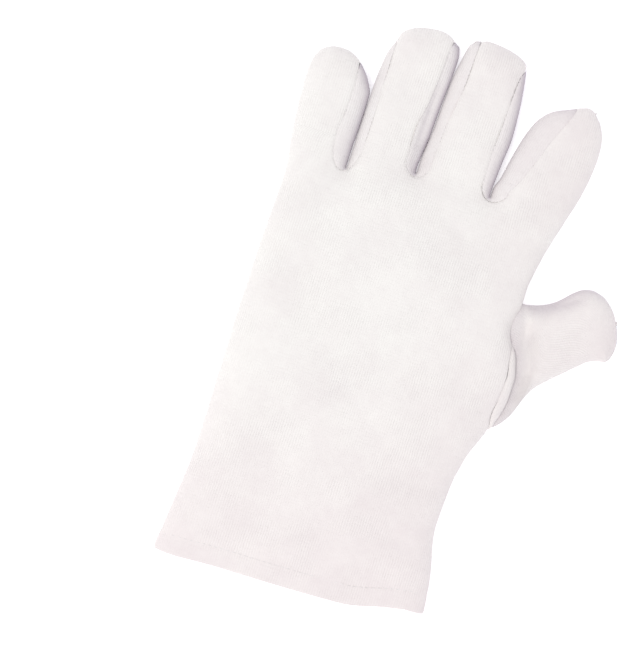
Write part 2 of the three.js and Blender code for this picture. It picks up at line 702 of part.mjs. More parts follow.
// Turned-in hem: a ring just inside both panels, from the same rows as their edges
function hemGeometry() {
  const back = panelGrid(1);
  const palm = panelGrid(-1);
  const set = clothWall + seamGap;
  const ring = (share) => {
    const at = (grid, i) => {
      const start = grid[0][i];
      const next = grid[1][i];
      const reach = next.point.y - start.point.y;
      const step = lerp(seamGap * 2, hemDepth, share) / reach;
      return {
        point: start.point.clone().lerp(next.point, step),
        normal: start.normal.clone().lerp(next.normal, step).normalize(),
      };
    };
    const loop = [];
    for (let i = 0; i < back[0].length; i += 1) loop.push(at(back, i));
    for (let i = palm[0].length - 2; i > 0; i -= 1) loop.push(at(palm, i));
    return loop;
  };
  return sheet([ring(0), ring(1)], { outer: set, inner: set + hemWall, ring: true });
}

// Thumb: a closed pillow of cloth, open where it is set into the palm
function thumbGeometry() {
  const line = thumbLine * palmWidth;
  const spot = (out, up) => new THREE.Vector2(line + out * thumbReach, up * palmLength);
  const hole = { x: holeInset * palmWidth + seamGap, low: holeBottom + seamGap, high: holeTop - seamGap };
  const lows = [new THREE.Vector2(hole.x, hole.low), ...thumbRows.map((row) => spot(row.lowOut, row.lowUp))];
  const highs = [new THREE.Vector2(hole.x, hole.high), ...thumbRows.map((row) => spot(row.highOut, row.highUp))];
  const thicks = [0, ...thumbRows.map((row) => row.thick)];
  const last = lows.length - 1;
  const endLow = lows[last];
  const endHigh = highs[last];
  const bulge = endHigh.clone().sub(endLow);
  const cap = [];
  for (let i = 0; i <= thumbSteps; i += 1) {
    const share = i / thumbSteps;
    const p = endLow.clone().lerp(endHigh, share);
    p.x += bulge.y * thumbCap * Math.sin(share * Math.PI);
    p.y -= bulge.x * thumbCap * Math.sin(share * Math.PI);
    cap.push(p);
  }
  const start = (p, q) => p.clone().addScaledVector(q.clone().sub(p), -1);
  const lowSide = [start(lows[0], lows[1]), ...lows];
  const highSide = [start(highs[0], highs[1]), ...highs];
  const around = [...highSide, ...cap.slice(1, -1).reverse(), ...lowSide.reverse()];
  const grid = lows.map((low, k) => {
    const high = highs[k];
    const thick = lerp(thumbNeckThickness, thumbThickness, thicks[k]);
    const middle = thick * edgeHeight;
    const place = (i, side) => {
      const share = (1 - Math.cos((i / thumbSteps) * Math.PI)) / 2;
      const p = k === last ? cap[i].clone() : low.clone().lerp(high, share);
      const found = insetFrom(around, p.x, p.y);
      const edge = i === 0 || i === thumbSteps || k === last;
      const width = side > 0 ? thick * thumbRound : underWidth;
      const height = side > 0 ? thick - middle : middle;
      const rise = edge ? 0 : riseAt(found.inset, width) * height;
      const tilt = edge ? steep : slopeAt(found.inset, width) * height;
      const tuck = Math.max(gloveEdge('right', p.y) - lipCover - hole.x, 0) * clamp(1 - k / tuckRows, 0, 1);
      if (side > 0) p.x += tuck * (rise / height);
      return {
        point: new THREE.Vector3(p.x, p.y, middle + side * rise),
        normal: new THREE.Vector3(-found.inward.x * tilt, -found.inward.y * tilt, side).normalize(),
      };
    };
    const ring = [];
    for (let i = 0; i <= thumbSteps; i += 1) ring.push(place(i, 1));
    for (let i = thumbSteps - 1; i > 0; i -= 1) ring.push(place(i, -1));
    return ring;
  });
  return sheet(grid, { flip: true, ring: true, zipped: true });
}

const whiteCotton = { color: '#f6f3f2', roughness: 0.95, metalness: 0 };
const shadedCotton = { color: '#efe8e8', roughness: 0.95, metalness: 0 };

function piece(name, geometry, finish) {
  const mesh = new THREE.Mesh(geometry, new THREE.MeshStandardMaterial(finish));
  mesh.name = name;
  return mesh;
}

const glove = new THREE.Group();
glove.add(piece('back_panel', panelGeometry(1), whiteCotton));
glove.add(piece('palm_panel', panelGeometry(-1), whiteCotton));
crotches.forEach((crotch, index) => glove.add(piece(crotch.name, fourchetteGeometry(index), shadedCotton)));
glove.add(piece('thumb', thumbGeometry(), whiteCotton));
glove.add(piece('cuff_hem', hemGeometry(), shadedCotton));

// The origin is under the middle of the whole glove, on the surface it lies on
const box = new THREE.Box3().setFromObject(glove);
glove.position.set(-(box.min.x + box.max.x) / 2, -(box.min.y + box.max.y) / 2, -box.min.z);

export default glove;
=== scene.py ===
"""A white cotton work glove for the left hand, lying on its palm, dressed over its CAD frame.

The glove's own shape is in millimetres: X to the thumb side, Y from the hem to the fingertips, Z up from
the surface it lies on. Each mesh is turned to the frame's metres as it is made.
"""
import logging
import math
from dataclasses import dataclass, field
from enum import Enum

import bpy
import numpy as np
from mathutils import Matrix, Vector
from mathutils.kdtree import KDTree


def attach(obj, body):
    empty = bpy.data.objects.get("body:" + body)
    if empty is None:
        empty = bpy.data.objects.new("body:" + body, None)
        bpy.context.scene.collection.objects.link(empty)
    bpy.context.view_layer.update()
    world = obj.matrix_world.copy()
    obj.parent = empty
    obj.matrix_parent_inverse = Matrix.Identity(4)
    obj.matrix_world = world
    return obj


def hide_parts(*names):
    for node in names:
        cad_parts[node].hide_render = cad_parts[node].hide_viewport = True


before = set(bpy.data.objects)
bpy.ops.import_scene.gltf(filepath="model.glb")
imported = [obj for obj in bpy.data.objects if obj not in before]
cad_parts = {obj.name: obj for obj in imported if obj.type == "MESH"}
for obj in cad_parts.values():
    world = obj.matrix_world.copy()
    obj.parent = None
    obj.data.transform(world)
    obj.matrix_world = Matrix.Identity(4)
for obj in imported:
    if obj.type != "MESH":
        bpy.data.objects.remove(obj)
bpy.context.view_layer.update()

log = logging.getLogger("glove")
Array = np.ndarray

GLOVE_TO_ROW = np.array([-19.840, -122.317, 0.0])


class Layer(Enum):
    """The two cloth layers of the lying glove."""

    BACK = 1
    PALM = -1


class Side(Enum):
    """The two sides of the glove, each with the direction from there to the middle."""

    LEFT = 1
    RIGHT = -1


@dataclass(frozen=True)
class Track:
    """A size that changes along a length, on a smooth curve through its stops."""

    stops: tuple[float, ...]
    values: tuple[float, ...]

    def at(self, where: Array | float) -> Array:
        """Read the size.

        Args:
            where: places along the length, in the units of the stops.

        Returns:
            The size at each place.
        """
        x, v = np.asarray(self.stops, float), np.asarray(self.values, float)
        where = np.clip(np.asarray(where, float), x[0], x[-1])
        chord = np.diff(v) / np.diff(x)
        before, after = np.r_[chord[0], chord], np.r_[chord, chord[-1]]
        agree = before * after > 0
        slope = np.where(agree, 2 * before * after / np.where(agree, before + after, 1), 0)
        i = np.clip(np.searchsorted(x, where, side="right") - 1, 0, len(x) - 2)
        span = x[i + 1] - x[i]
        t = (where - x[i]) / span
        ends = (2 * t**3 - 3 * t**2 + 1) * v[i] + (-2 * t**3 + 3 * t**2) * v[i + 1]
        return ends + ((t**3 - 2 * t**2 + t) * slope[i] + (t**3 - t**2) * slope[i + 1]) * span


def tracks(*rows: tuple[float, ...]) -> list[Track]:
    """Make tracks from a table.

    Args:
        rows: the table's rows, each the place followed by its sizes.

    Returns:
        One track for each size.
    """
    columns = list(zip(*rows))
    return [Track(columns[0], column) for column in columns[1:]]


def lerp(a: Array | float, b: Array | float, t: Array | float) -> Array:
    """Mix a and b by t."""
    return a + (b - a) * t


def smooth(t: Array | float) -> Array:
    """Ease from 0 to 1."""
    t = np.clip(t, 0, 1)
    return t * t * (3 - 2 * t)


def spread(count: int, ease: float = 0.75) -> Array:
    """Shares from 0 to 1, closer together near both ends.

    Args:
        count: number of steps.
        ease: 0 for even steps, 1 for the most crowded ends.

    Returns:
        count + 1 shares.
    """
    t = np.linspace(0, 1, count + 1)
    return lerp(t, (1 - np.cos(math.pi * t)) / 2, ease)


@dataclass(frozen=True)
class Finger:
    """One finger: its length past the crotches, its apex, and the edge and seam line of each side.

    tips holds, for each side, 0 where its tip is a quarter ellipse, or the power of a flatter curve.
    """

    name: str
    length: float
    apex: float
    left: tuple[Track, ...]
    right: tuple[Track, ...]
    tips: tuple[float, float] = (0.0, 0.0)

    def side(self, side: Side) -> tuple[Track, ...]:
        """Tracks of one side: its edge, and its seam unless the panels roll over that side."""
        return self.left if side is Side.LEFT else self.right


@dataclass(frozen=True)
class Line:
    """A curve as close points, which tells how far off and how far along it other points lie."""

    points: Array

    def near(self, places: Array) -> tuple[Array, Array]:
        """Measure from places to the curve.

        Args:
            places: points, one a row, with as many coordinates as the curve's.

        Returns:
            Each place's distance from the curve, and how far along the curve its nearest point is.
        """
        flat = np.zeros((len(self.points), 3))
        flat[:, : self.points.shape[1]] = self.points
        query = np.zeros((len(places), 3))
        query[:, : places.shape[1]] = places
        tree = KDTree(len(flat))
        for i, point in enumerate(flat):
            tree.insert(point, i)
        tree.balance()
        nearest = np.array([tree.find(point)[1] for point in query])
        steps = np.diff(flat, axis=0)
        lengths = np.linalg.norm(steps, axis=1)
        arc = np.r_[0, np.cumsum(lengths)]
        best = np.full(len(query), np.inf)
        along = np.zeros(len(query))
        for shift in (-1, 0):
            k = np.clip(nearest + shift, 0, len(steps) - 1)
            size = np.maximum(lengths[k], 1e-9)
            t = np.clip(np.einsum("ij,ij->i", query - flat[k], steps[k]) / size**2, 0, 1)
            gap = np.linalg.norm(query - flat[k] - steps[k] * t[:, None], axis=1)
            closer = gap < best
            best = np.where(closer, gap, best)
            along = np.where(closer, arc[k] + t * size, along)
        return best, along


def arc_length(points: Array) -> Array:
    """Distance along a curve from its first point to each point."""
    return np.r_[0, np.cumsum(np.linalg.norm(np.diff(points, axis=0), axis=1))]


def resample(points: Array, pitch: float) -> Array:
    """Space the points of a curve evenly.

    Args:
        points: the curve's points.
        pitch: wanted distance between points.

    Returns:
        Points on the same curve, about pitch apart.
    """
    arc = arc_length(points)
    keep = np.r_[True, np.diff(arc) > 1e-9]
    arc, points = arc[keep], points[keep]
    where = np.linspace(0, arc[-1], max(2, round(arc[-1] / pitch) + 1))
    return np.stack([np.interp(where, arc, column) for column in points.T], axis=1)


@dataclass
class GloveForm:
    """The outer form of the lying glove, in millimetres and in degrees round its edge.

    Shares are of the palm's length and width.
    """

    palm_length: float = 184.0
    palm_width: float = 115.0
    palm_thickness: float = 17.0
    cuff_thickness: float = 13.0
    finger_thickness: float = 13.0
    hem_depth: float = 10.0
    hem_step: float = 1.0
    seam_gap: float = 0.06
    crotch_seam: float = 1.8
    palm_seam_inset: float = 2.6
    edge_height: float = 0.47
    roundness: float = 2.2
    under_round: float = 7 / 17
    shoulder_angle: float = 50.0
    under_angle: float = 85.0
    side_seam_angle: float = -50.0
    seam_angle_gap: float = 0.05
    seam_open_place: float = 115.0
    seam_open_reach: float = 6.0
    seam_open_angle: float = 1.0
    hole_low: float = 0.478
    hole_high: float = 0.789
    hole_inset: float = 0.432
    hole_lead: float = 0.1
    finger_start: float = 1.022
    slot_corner: float = 0.35
    hem_blend: float = 4.0
    tip_round: float = 0.72
    roll_start: float = 0.6
    outline_pitch: float = 0.3
    side_points: int = 160
    finger_points: int = 60
    tip_points: int = 80
    slot_points: int = 60
    slot_bottoms: tuple[float, ...] = (0.962, 1.0, 1.0)
    palm_sides: list[Track] = field(default_factory=lambda: tracks(
        (0.0, -0.53, 0.506, -50), (0.11, -0.512, 0.484, -50), (0.24, -0.498, 0.443, -50),
        (0.33, -0.498, 0.448, -50), (0.41, -0.5, 0.47, -50), (0.455, -0.501, 0.496, -35),
        (0.475, -0.502, 0.508, -10), (0.49, -0.502, 0.5175, 10), (0.51, -0.502, 0.53, 28),
        (0.53, -0.503, 0.542, 36), (0.57, -0.503, 0.552, 38), (0.61, -0.503, 0.552, 37),
        (0.645, -0.503, 0.539, 34), (0.67, -0.503, 0.524, 27), (0.69, -0.503, 0.5035, 12),
        (0.71, -0.503, 0.486, 2), (0.73, -0.503, 0.4795, 0),
        (0.755, -0.502, 0.484, 0), (0.78, -0.501, 0.493, 0), (0.8, -0.5, 0.4935, 0),
        (0.825, -0.4985, 0.4925, -20), (0.85, -0.497, 0.497, -40), (0.9, -0.496, 0.511, -50),
        (1.0, -0.517, 0.551, -50)))
    thick_shares: list[Track] = field(default_factory=lambda: tracks(
        (0.0, 1, 0, 0, 0.85), (0.12, 0.7, 0.3, 0, 0.95), (0.4, 0, 1, 0, 1.3), (0.75, 0, 1, 0, 1.3),
        (0.9, 0, 0.55, 0.45, 1.0), (1.02, 0, 0, 1, 0.72)))
    hem_line: list[Track] = field(default_factory=lambda: tracks(
        (-0.531, -0.06), (-0.518, -0.24), (-0.48, -0.27), (-0.3, -0.17), (-0.1, -0.13), (0.19, 0.0),
        (0.36, 0.46), (0.42, 0.6)))
    fingers: tuple[Finger, ...] = (
        Finger("little", 41.0, -0.426,
               tuple(tracks((0.0, -0.517), (0.39, -0.53), (0.66, -0.534), (0.82, -0.527), (0.915, -0.509))),
               tuple(tracks((0.0, -0.2895, -0.35), (0.15, -0.2845, -0.3565), (0.39, -0.283, -0.348),
                            (0.61, -0.2845, -0.347), (0.78, -0.311, -0.349), (0.92, -0.354, -0.354))),
               tips=(3.0, 2.0)),
        Finger("ring", 61.0, -0.104,
               tuple(tracks((0.0, -0.2785, -0.248), (0.1, -0.283, -0.248), (0.26, -0.2825, -0.248),
                            (0.51, -0.2818, -0.25), (0.72, -0.273, -0.252), (0.86, -0.248, -0.248))),
               tuple(tracks((0.0, -0.0375, -0.08), (0.1, -0.0315, -0.081), (0.26, -0.0235, -0.0826),
                            (0.51, -0.0185, -0.066), (0.72, -0.0125, -0.0565), (0.84, -0.0115, -0.053),
                            (0.91, -0.0185, -0.05), (0.955, -0.0425, -0.0425))),
               tips=(0.0, 2.0)),
        Finger("middle", 63.0, 0.072,
               tuple(tracks((0.0, -0.0305, 0.009), (0.1, -0.0302, 0.0115), (0.33, -0.0202, 0.0175),
                            (0.49, -0.0172, 0.03), (0.7, -0.011, 0.039), (0.83, 0.0, 0.041),
                            (0.92, 0.009, 0.043), (0.965, 0.027, 0.0455), (0.985, 0.049, 0.049))),
               tuple(tracks((0.0, 0.2535, 0.217), (0.25, 0.262, 0.213), (0.41, 0.269, 0.217),
                            (0.65, 0.261, 0.222), (0.8, 0.25, 0.228), (0.895, 0.2405, 0.2405))),
               tips=(1.25, 0.0)),
        Finger("index", 49.0, 0.503,
               tuple(tracks((0.0, 0.2552, 0.296), (0.09, 0.259, 0.316), (0.18, 0.2725, 0.339),
                            (0.33, 0.284, 0.365), (0.57, 0.306, 0.4), (0.735, 0.331, 0.429),
                            (0.86, 0.373, 0.452), (0.965, 0.463, 0.463))),
               tuple(tracks((0.0, 0.551), (0.22, 0.576), (0.43, 0.59), (0.6, 0.595), (0.74, 0.59),
                            (0.85, 0.574), (0.93, 0.552), (0.975, 0.533))),
               tips=(1.25, 2.0)),
    )

    def __post_init__(self) -> None:
        """Work out the lines that the shape is measured from."""
        self.start = self.palm_length * self.finger_start
        self.hole_bottom = self.palm_length * self.hole_low
        self.hole_top = self.palm_length * self.hole_high
        self.under_width = self.palm_thickness * self.under_round
        self.outline = Line(resample(self.outline_points(), self.outline_pitch))

    def thickness(self, y: Array) -> Array:
        """Thickness of the lying glove at y."""
        cuff, palm, finger, _ = (track.at(y / self.palm_length) for track in self.thick_shares)
        return self.cuff_thickness * cuff + self.palm_thickness * palm + self.finger_thickness * finger

    def round_width(self, y: Array, layer: Layer) -> Array:
        """Width of the rounded edge at y."""
        if layer is Layer.PALM:
            return self.under_width + 0 * y
        return self.palm_thickness * self.thick_shares[3].at(y / self.palm_length)

    def edge_in(self, angle: Array | float, width: Array | float) -> Array:
        """How far in from the edge a place lies that is an angle round it."""
        return width * (1 - np.cos(np.radians(np.abs(angle))) ** (2 / self.roundness))

    def side_line(self, finger: Finger, side: Side, column: int, y: Array) -> Array:
        """Edge (column 0) or seam (column 1) of a finger's side at y."""
        return self.palm_width * finger.side(side)[column].at((y - self.palm_length) / finger.length)

    def outer_finger(self, side: Side) -> Finger:
        """The finger at one side of the glove."""
        return self.fingers[0] if side is Side.LEFT else self.fingers[-1]

    def slot_sides(self, index: int) -> tuple[tuple[Side, Finger], ...]:
        """The two fingers beside a slot, each with its side that faces the slot."""
        return (Side.RIGHT, self.fingers[index]), (Side.LEFT, self.fingers[index + 1])

    def glove_edge(self, side: Side, y: Array) -> Array:
        """Outermost line of the glove at one side, up the palm and on along the finger there."""
        palm = self.palm_width * self.palm_sides[0 if side is Side.LEFT else 1].at(y / self.palm_length)
        return np.where(y > self.palm_length, self.side_line(self.outer_finger(side), side, 0, y), palm)

    def corner(self, finger: Finger, side: Side) -> tuple[float, float]:
        """Corner where a finger's side meets its tip."""
        edge = finger.side(side)[0]
        return self.palm_width * edge.values[-1], self.palm_length + finger.length * edge.stops[-1]

    def tip_height(self, finger: Finger, x: Array) -> Array:
        """Top of a finger between its corners: quarter ellipses, or flatter curves by slanted sides."""
        apex = self.palm_width * finger.apex
        left, right = self.corner(finger, Side.LEFT), self.corner(finger, Side.RIGHT)
        corner_x = np.where(x < apex, left[0], right[0])
        corner_y = np.where(x < apex, left[1], right[1])
        reach = (x - apex) / (corner_x - apex)
        power = np.where(x < apex, *finger.tips)
        ellipse = np.sqrt(np.clip(1 - reach**2, 0, 1))
        top = np.where(power > 0, 1 - np.clip(reach, 0, 1) ** power, ellipse)
        return corner_y + (self.palm_length + finger.length - corner_y) * top

    def slot_edge(self, index: int, turn: Array) -> Array:
        """Edge of the slot between two fingers.

        Args:
            index: number of the slot.
            turn: 0 at its left side to 1 at its right.

        Returns:
            The points of its edge.
        """
        left = self.side_line(self.fingers[index], Side.RIGHT, 0, self.start)
        right = self.side_line(self.fingers[index + 1], Side.LEFT, 0, self.start)
        c = -np.cos(turn * math.pi)
        x = (left + right) / 2 + (right - left) / 2 * np.sign(c) * np.abs(c) ** self.slot_corner
        depth = self.start - self.palm_length * self.slot_bottoms[index]
        return np.stack([x, self.start - depth * np.sin(turn * math.pi)], axis=-1)

    def outline_points(self) -> Array:
        """Outline of the glove without its thumb, open at the hem."""
        below = -self.hem_blend * self.hem_depth
        run = [np.array([[self.glove_edge(Side.LEFT, 0.0), below]])]
        lift = np.linspace(0, self.start, self.side_points)[:-1]
        run.append(np.stack([self.glove_edge(Side.LEFT, lift), lift], axis=-1))
        for index, finger in enumerate(self.fingers):
            left, right = self.corner(finger, Side.LEFT), self.corner(finger, Side.RIGHT)
            climb = np.linspace(self.start, left[1], self.finger_points)
            run.append(np.stack([self.side_line(finger, Side.LEFT, 0, climb), climb], axis=-1))
            across = lerp(left[0], right[0], spread(self.tip_points, 1.0))
            run.append(np.stack([across, self.tip_height(finger, across)], axis=-1))
            climb = np.linspace(right[1], self.start, self.finger_points)
            run.append(np.stack([self.side_line(finger, Side.RIGHT, 0, climb), climb], axis=-1))
            if index < len(self.slot_bottoms):
                run.append(self.slot_edge(index, np.linspace(0, 1, self.slot_points + 1)[1:-1]))
        run.append(np.stack([self.glove_edge(Side.RIGHT, lift[::-1]), lift[::-1]], axis=-1))
        run.append(np.array([[self.glove_edge(Side.RIGHT, 0.0), below]]))
        return np.concatenate(run)

    def late_share(self, side: Side, y: Array) -> Array:
        """How far up its last stretch the outer finger's side has come, 1 at the corner of the tip."""
        corner = self.corner(self.outer_finger(side), side)[1]
        begin = lerp(self.start, corner, self.roll_start)
        return np.clip((y - begin) / (corner - begin), 0, 1)

    def shoulder_line(self, side: Side, layer: Layer, y: Array) -> Array:
        """Line where a panel begins to roll over the glove's side."""
        angle = self.shoulder_angle if layer is Layer.BACK else self.under_angle
        width = self.edge_in(angle, self.round_width(y, layer))
        return self.glove_edge(side, y) + side.value * width * (1 - smooth(self.late_share(side, y)))

    def strip_limit(self, finger: Finger, side: Side, layer: Layer, y: Array, away: float = 0) -> Array:
        """Line on one layer where a finger's strip ends, at a seam or at the shoulder of a rolled side."""
        if len(finger.side(side)) == 1:
            return self.shoulder_line(side, layer, y)
        fade = smooth((self.corner(finger, side)[1] - y) / self.palm_seam_inset / 3)
        if layer is Layer.BACK:
            seam = self.side_line(finger, side, 1, y)
        else:
            seam = self.side_line(finger, side, 0, y) + side.value * self.palm_seam_inset * fade
        return seam + side.value * away

    def web_line(self, index: int, layer: Layer, turn: Array, away: float = 0) -> Array:
        """Seam below a slot, a half ellipse from one finger's strip to the next."""
        left = self.strip_limit(self.fingers[index], Side.RIGHT, layer, self.start, away)
        right = self.strip_limit(self.fingers[index + 1], Side.LEFT, layer, self.start, away)
        drop = (self.crotch_seam if layer is Layer.BACK else self.palm_seam_inset) + away
        depth = self.start - self.palm_length * self.slot_bottoms[index] + drop
        x = lerp(left, right, (1 - np.cos(turn * math.pi)) / 2)
        return np.stack([x, self.start - depth * np.sin(turn * math.pi)], axis=-1)

    def palm_limit(self, side: Side, layer: Layer, y: Array) -> Array:
        """Where a panel's flat part ends, drawn in beside the thumb hole."""
        plain = self.shoulder_line(side, layer, y)
        if side is Side.LEFT or layer is Layer.BACK:
            return plain
        lead = self.hole_lead * self.palm_length
        near = smooth((y - self.hole_bottom + lead) / lead) * smooth((self.hole_top + lead - y) / lead)
        return lerp(plain, np.minimum(plain, self.hole_inset * self.palm_width), near)

    def seam_angle(self, side: Side, y: Array) -> Array:
        """Angle round the edge of the side seam, up over the top beside the thumb."""
        plain = self.side_seam_angle + 0 * y
        if side is Side.RIGHT:
            plain = self.palm_sides[2].at(y / self.palm_length)
        return lerp(plain, 0, self.late_share(side, y))

    def hem_drop(self, x: Array) -> Array:
        """How far the hem line of the back layer lies from straight."""
        return self.hem_depth * self.hem_line[0].at(x / self.palm_width)

    def rise(self, inset: Array, width: Array | float) -> Array:
        """Share of its full height that the skin has reached, 0 at the edge and 1 past the rounded width."""
        c = np.clip(1 - inset / width, 0, 1)
        return (1 - c**self.roundness) ** (1 / self.roundness)

    def skin(self, xy: Array, layer: Layer, inset: Array | None = None) -> Array:
        """Lift points of the plan to the glove's outer skin.

        Args:
            xy: places in the plan, in any grid shape, with two coordinates each.
            layer: the layer that they lie on.
            inset: distance in from the edge, where it is known.

        Returns:
            Points with three coordinates each.
        """
        shape = xy.shape[:-1]
        x, y = xy[..., 0].ravel(), xy[..., 1].ravel()
        if inset is None:
            inset = self.outline.near(np.stack([x, y], axis=1))[0]
        thickness, width = self.thickness(y), self.round_width(y, layer)
        middle = thickness * self.edge_height
        height = thickness - middle if layer is Layer.BACK else middle
        z = middle + layer.value * self.rise(np.ravel(inset), width) * height
        return np.stack([x, y, z], axis=1).reshape(*shape, 3)

    def roll(self, side: Side, y: Array, angle: Array) -> Array:
        """Points where the panels roll over the glove's side.

        Args:
            side: the glove's side.
            y: places along it.
            angle: degrees round the edge, positive on the back.

        Returns:
            Points with three coordinates each.
        """
        done = np.zeros((*y.shape, 3))
        for layer in Layer:
            width = self.round_width(y, layer)
            start = self.shoulder_angle if layer is Layer.BACK else self.under_angle
            shoulder = self.shoulder_line(side, layer, y)
            share = self.edge_in(angle, width) / self.edge_in(start, width)
            deep = self.outline.near(np.stack([shoulder.ravel(), y.ravel()], axis=1))[0].reshape(y.shape)
            x = lerp(self.glove_edge(side, y), shoulder, share)
            points = self.skin(np.stack([x, y], axis=-1), layer, deep * share)
            chosen = angle > 0 if layer is Layer.BACK else angle <= 0
            done = np.where(chosen[..., None], points, done)
        return done


@dataclass
class Grid:
    """Points of a cloth piece in rows and columns, with their place in the cloth for the knit's lines.

    thin is the share of the wall and relief that each point keeps, where the piece runs out to nothing.
    """

    points: Array
    knit: Array
    cloth: Array
    ring: bool = False
    thin: Array | None = None

    def vertex_numbers(self) -> Array:
        """Numbers of the grid's vertices, with the first column again at the end of a ring."""
        rows, columns = self.points.shape[:2]
        numbers = np.arange(rows * columns).reshape(rows, columns)
        return np.concatenate([numbers, numbers[:, :1]], axis=1) if self.ring else numbers

    def quads(self, numbers: Array) -> Array:
        """Corner numbers of every cell that has cloth."""
        a, b = numbers[:-1, :-1], numbers[:-1, 1:]
        c, d = numbers[1:, 1:], numbers[1:, :-1]
        return np.stack([a, b, c, d], axis=-1)[self.cloth]


def unit(vectors: Array) -> Array:
    """Scale vectors to a length of 1."""
    return vectors / np.maximum(np.linalg.norm(vectors, axis=-1, keepdims=True), 1e-12)


def vertex_normals(points: Array, quads: Array) -> Array:
    """Normals of a mesh of four-sided faces.

    Args:
        points: the vertices.
        quads: the faces' vertex numbers.

    Returns:
        A normal for each vertex.
    """
    across = points[quads[:, 2]] - points[quads[:, 0]]
    face = np.cross(across, points[quads[:, 3]] - points[quads[:, 1]])
    total = np.zeros_like(points)
    for corner in range(4):
        np.add.at(total, quads[:, corner], face)
    return unit(total)


@dataclass
class Relief:
    """What sewing and use do to the cloth's surface, in millimetres."""

    seams: list[Line]
    groove_depth: float = 0.4
    groove_width: float = 0.6
    pucker_height: float = 0.1
    pucker_pitch: float = 4.6
    pucker_reach: float = 2.4
    pucker_bend: float = 1.3
    pucker_rates: tuple[float, float] = (0.31, 0.173)
    swell_height: float = 0.22
    swell_count: int = 22
    swell_lengths: tuple[float, float] = (16.0, 52.0)
    seed: int = 11

    def __post_init__(self) -> None:
        """Draw the directions of the slow swells once."""
        draw = np.random.default_rng(self.seed)
        turn = draw.uniform(0, math.tau, self.swell_count)
        wave = math.tau / draw.uniform(*self.swell_lengths, self.swell_count)
        self.waves = np.stack([np.cos(turn) * wave, np.sin(turn) * wave], axis=1)
        self.phases = draw.uniform(0, math.tau, self.swell_count)

    def swell(self, xy: Array) -> Array:
        """Slow unevenness of cloth that isn't stretched over anything."""
        total = np.sin(xy @ self.waves.T + self.phases).sum(axis=1)
        return self.swell_height * total / math.sqrt(self.swell_count / 2)

    def sewn(self, points: Array) -> Array:
        """Height of the surface near the seams: a groove with small puckers along it."""
        height = np.zeros(len(points))
        for number, seam in enumerate(self.seams):
            gap, along = seam.near(points)
            height -= self.groove_depth * np.exp(-((gap / self.groove_width) ** 2))
            turn = math.tau * along / self.pucker_pitch
            bend = self.pucker_bend * np.sin(turn * self.pucker_rates[0] + number)
            ripple = np.sin(turn + bend) * np.sin(turn * self.pucker_rates[1] + 2 * number)
            height += self.pucker_height * ripple * np.exp(-((gap / self.pucker_reach) ** 2))
        return height


@dataclass(frozen=True)
class Crease:
    """A soft fold or hollow in the cloth, from one end to the other. Negative depth stands proud."""

    start: tuple[float, float]
    end: tuple[float, float]
    width: float
    depth: float
    taper: float = 0.12

    def height(self, xy: Array) -> Array:
        """Height that it adds at places of the plan."""
        a, b = np.array(self.start), np.array(self.end)
        run = b - a
        t = np.clip((xy - a) @ run / (run @ run), 0, 1)
        off = np.linalg.norm(xy - a - t[:, None] * run, axis=1) / self.width
        fade = np.sin(math.pi * np.clip(t, self.taper, 1 - self.taper))
        return -self.depth * np.exp(-off * off) * fade


def add_node(tree: bpy.types.NodeTree, kind: str, settings: dict | None = None,
             inputs: dict | None = None) -> bpy.types.Node:
    """Add a node.

    Args:
        tree: the node tree.
        kind: the node's type name.
        settings: properties to set on it.
        inputs: values or sockets for its inputs, by name or number.

    Returns:
        The node.
    """
    node = tree.nodes.new(kind)
    for name, value in (settings or {}).items():
        setattr(node, name, value)
    for name, value in (inputs or {}).items():
        if isinstance(value, bpy.types.NodeSocket):
            tree.links.new(value, node.inputs[name])
        else:
            node.inputs[name].default_value = value
    return node


def add_object(name: str, data: bpy.types.ID) -> bpy.types.Object:
    """Put an object with this mesh, lamp or camera in the scene."""
    obj = bpy.data.objects.new(name, data)
    bpy.context.scene.collection.objects.link(obj)
    return obj


def linear(code: str) -> tuple[float, float, float, float]:
    """Turn an sRGB hex colour to linear."""
    parts = [int(code[i:i + 2], 16) / 255 for i in (1, 3, 5)]
    return (*(c / 12.92 if c <= 0.04045 else ((c + 0.055) / 1.055) ** 2.4 for c in parts), 1.0)


def new_material(name: str, values: dict) -> tuple[bpy.types.Material, bpy.types.Node]:
    """Begin a material.

    Args:
        name: its name.
        values: the numbers and colours that are the same all over, by the name of the shader's socket.

    Returns:
        The material, and its shader.
    """
    material = bpy.data.materials.new(name)
    material.use_nodes = True
    shader = material.node_tree.nodes["Principled BSDF"]
    for socket, value in values.items():
        shader.inputs[socket].default_value = value
    return material, shader


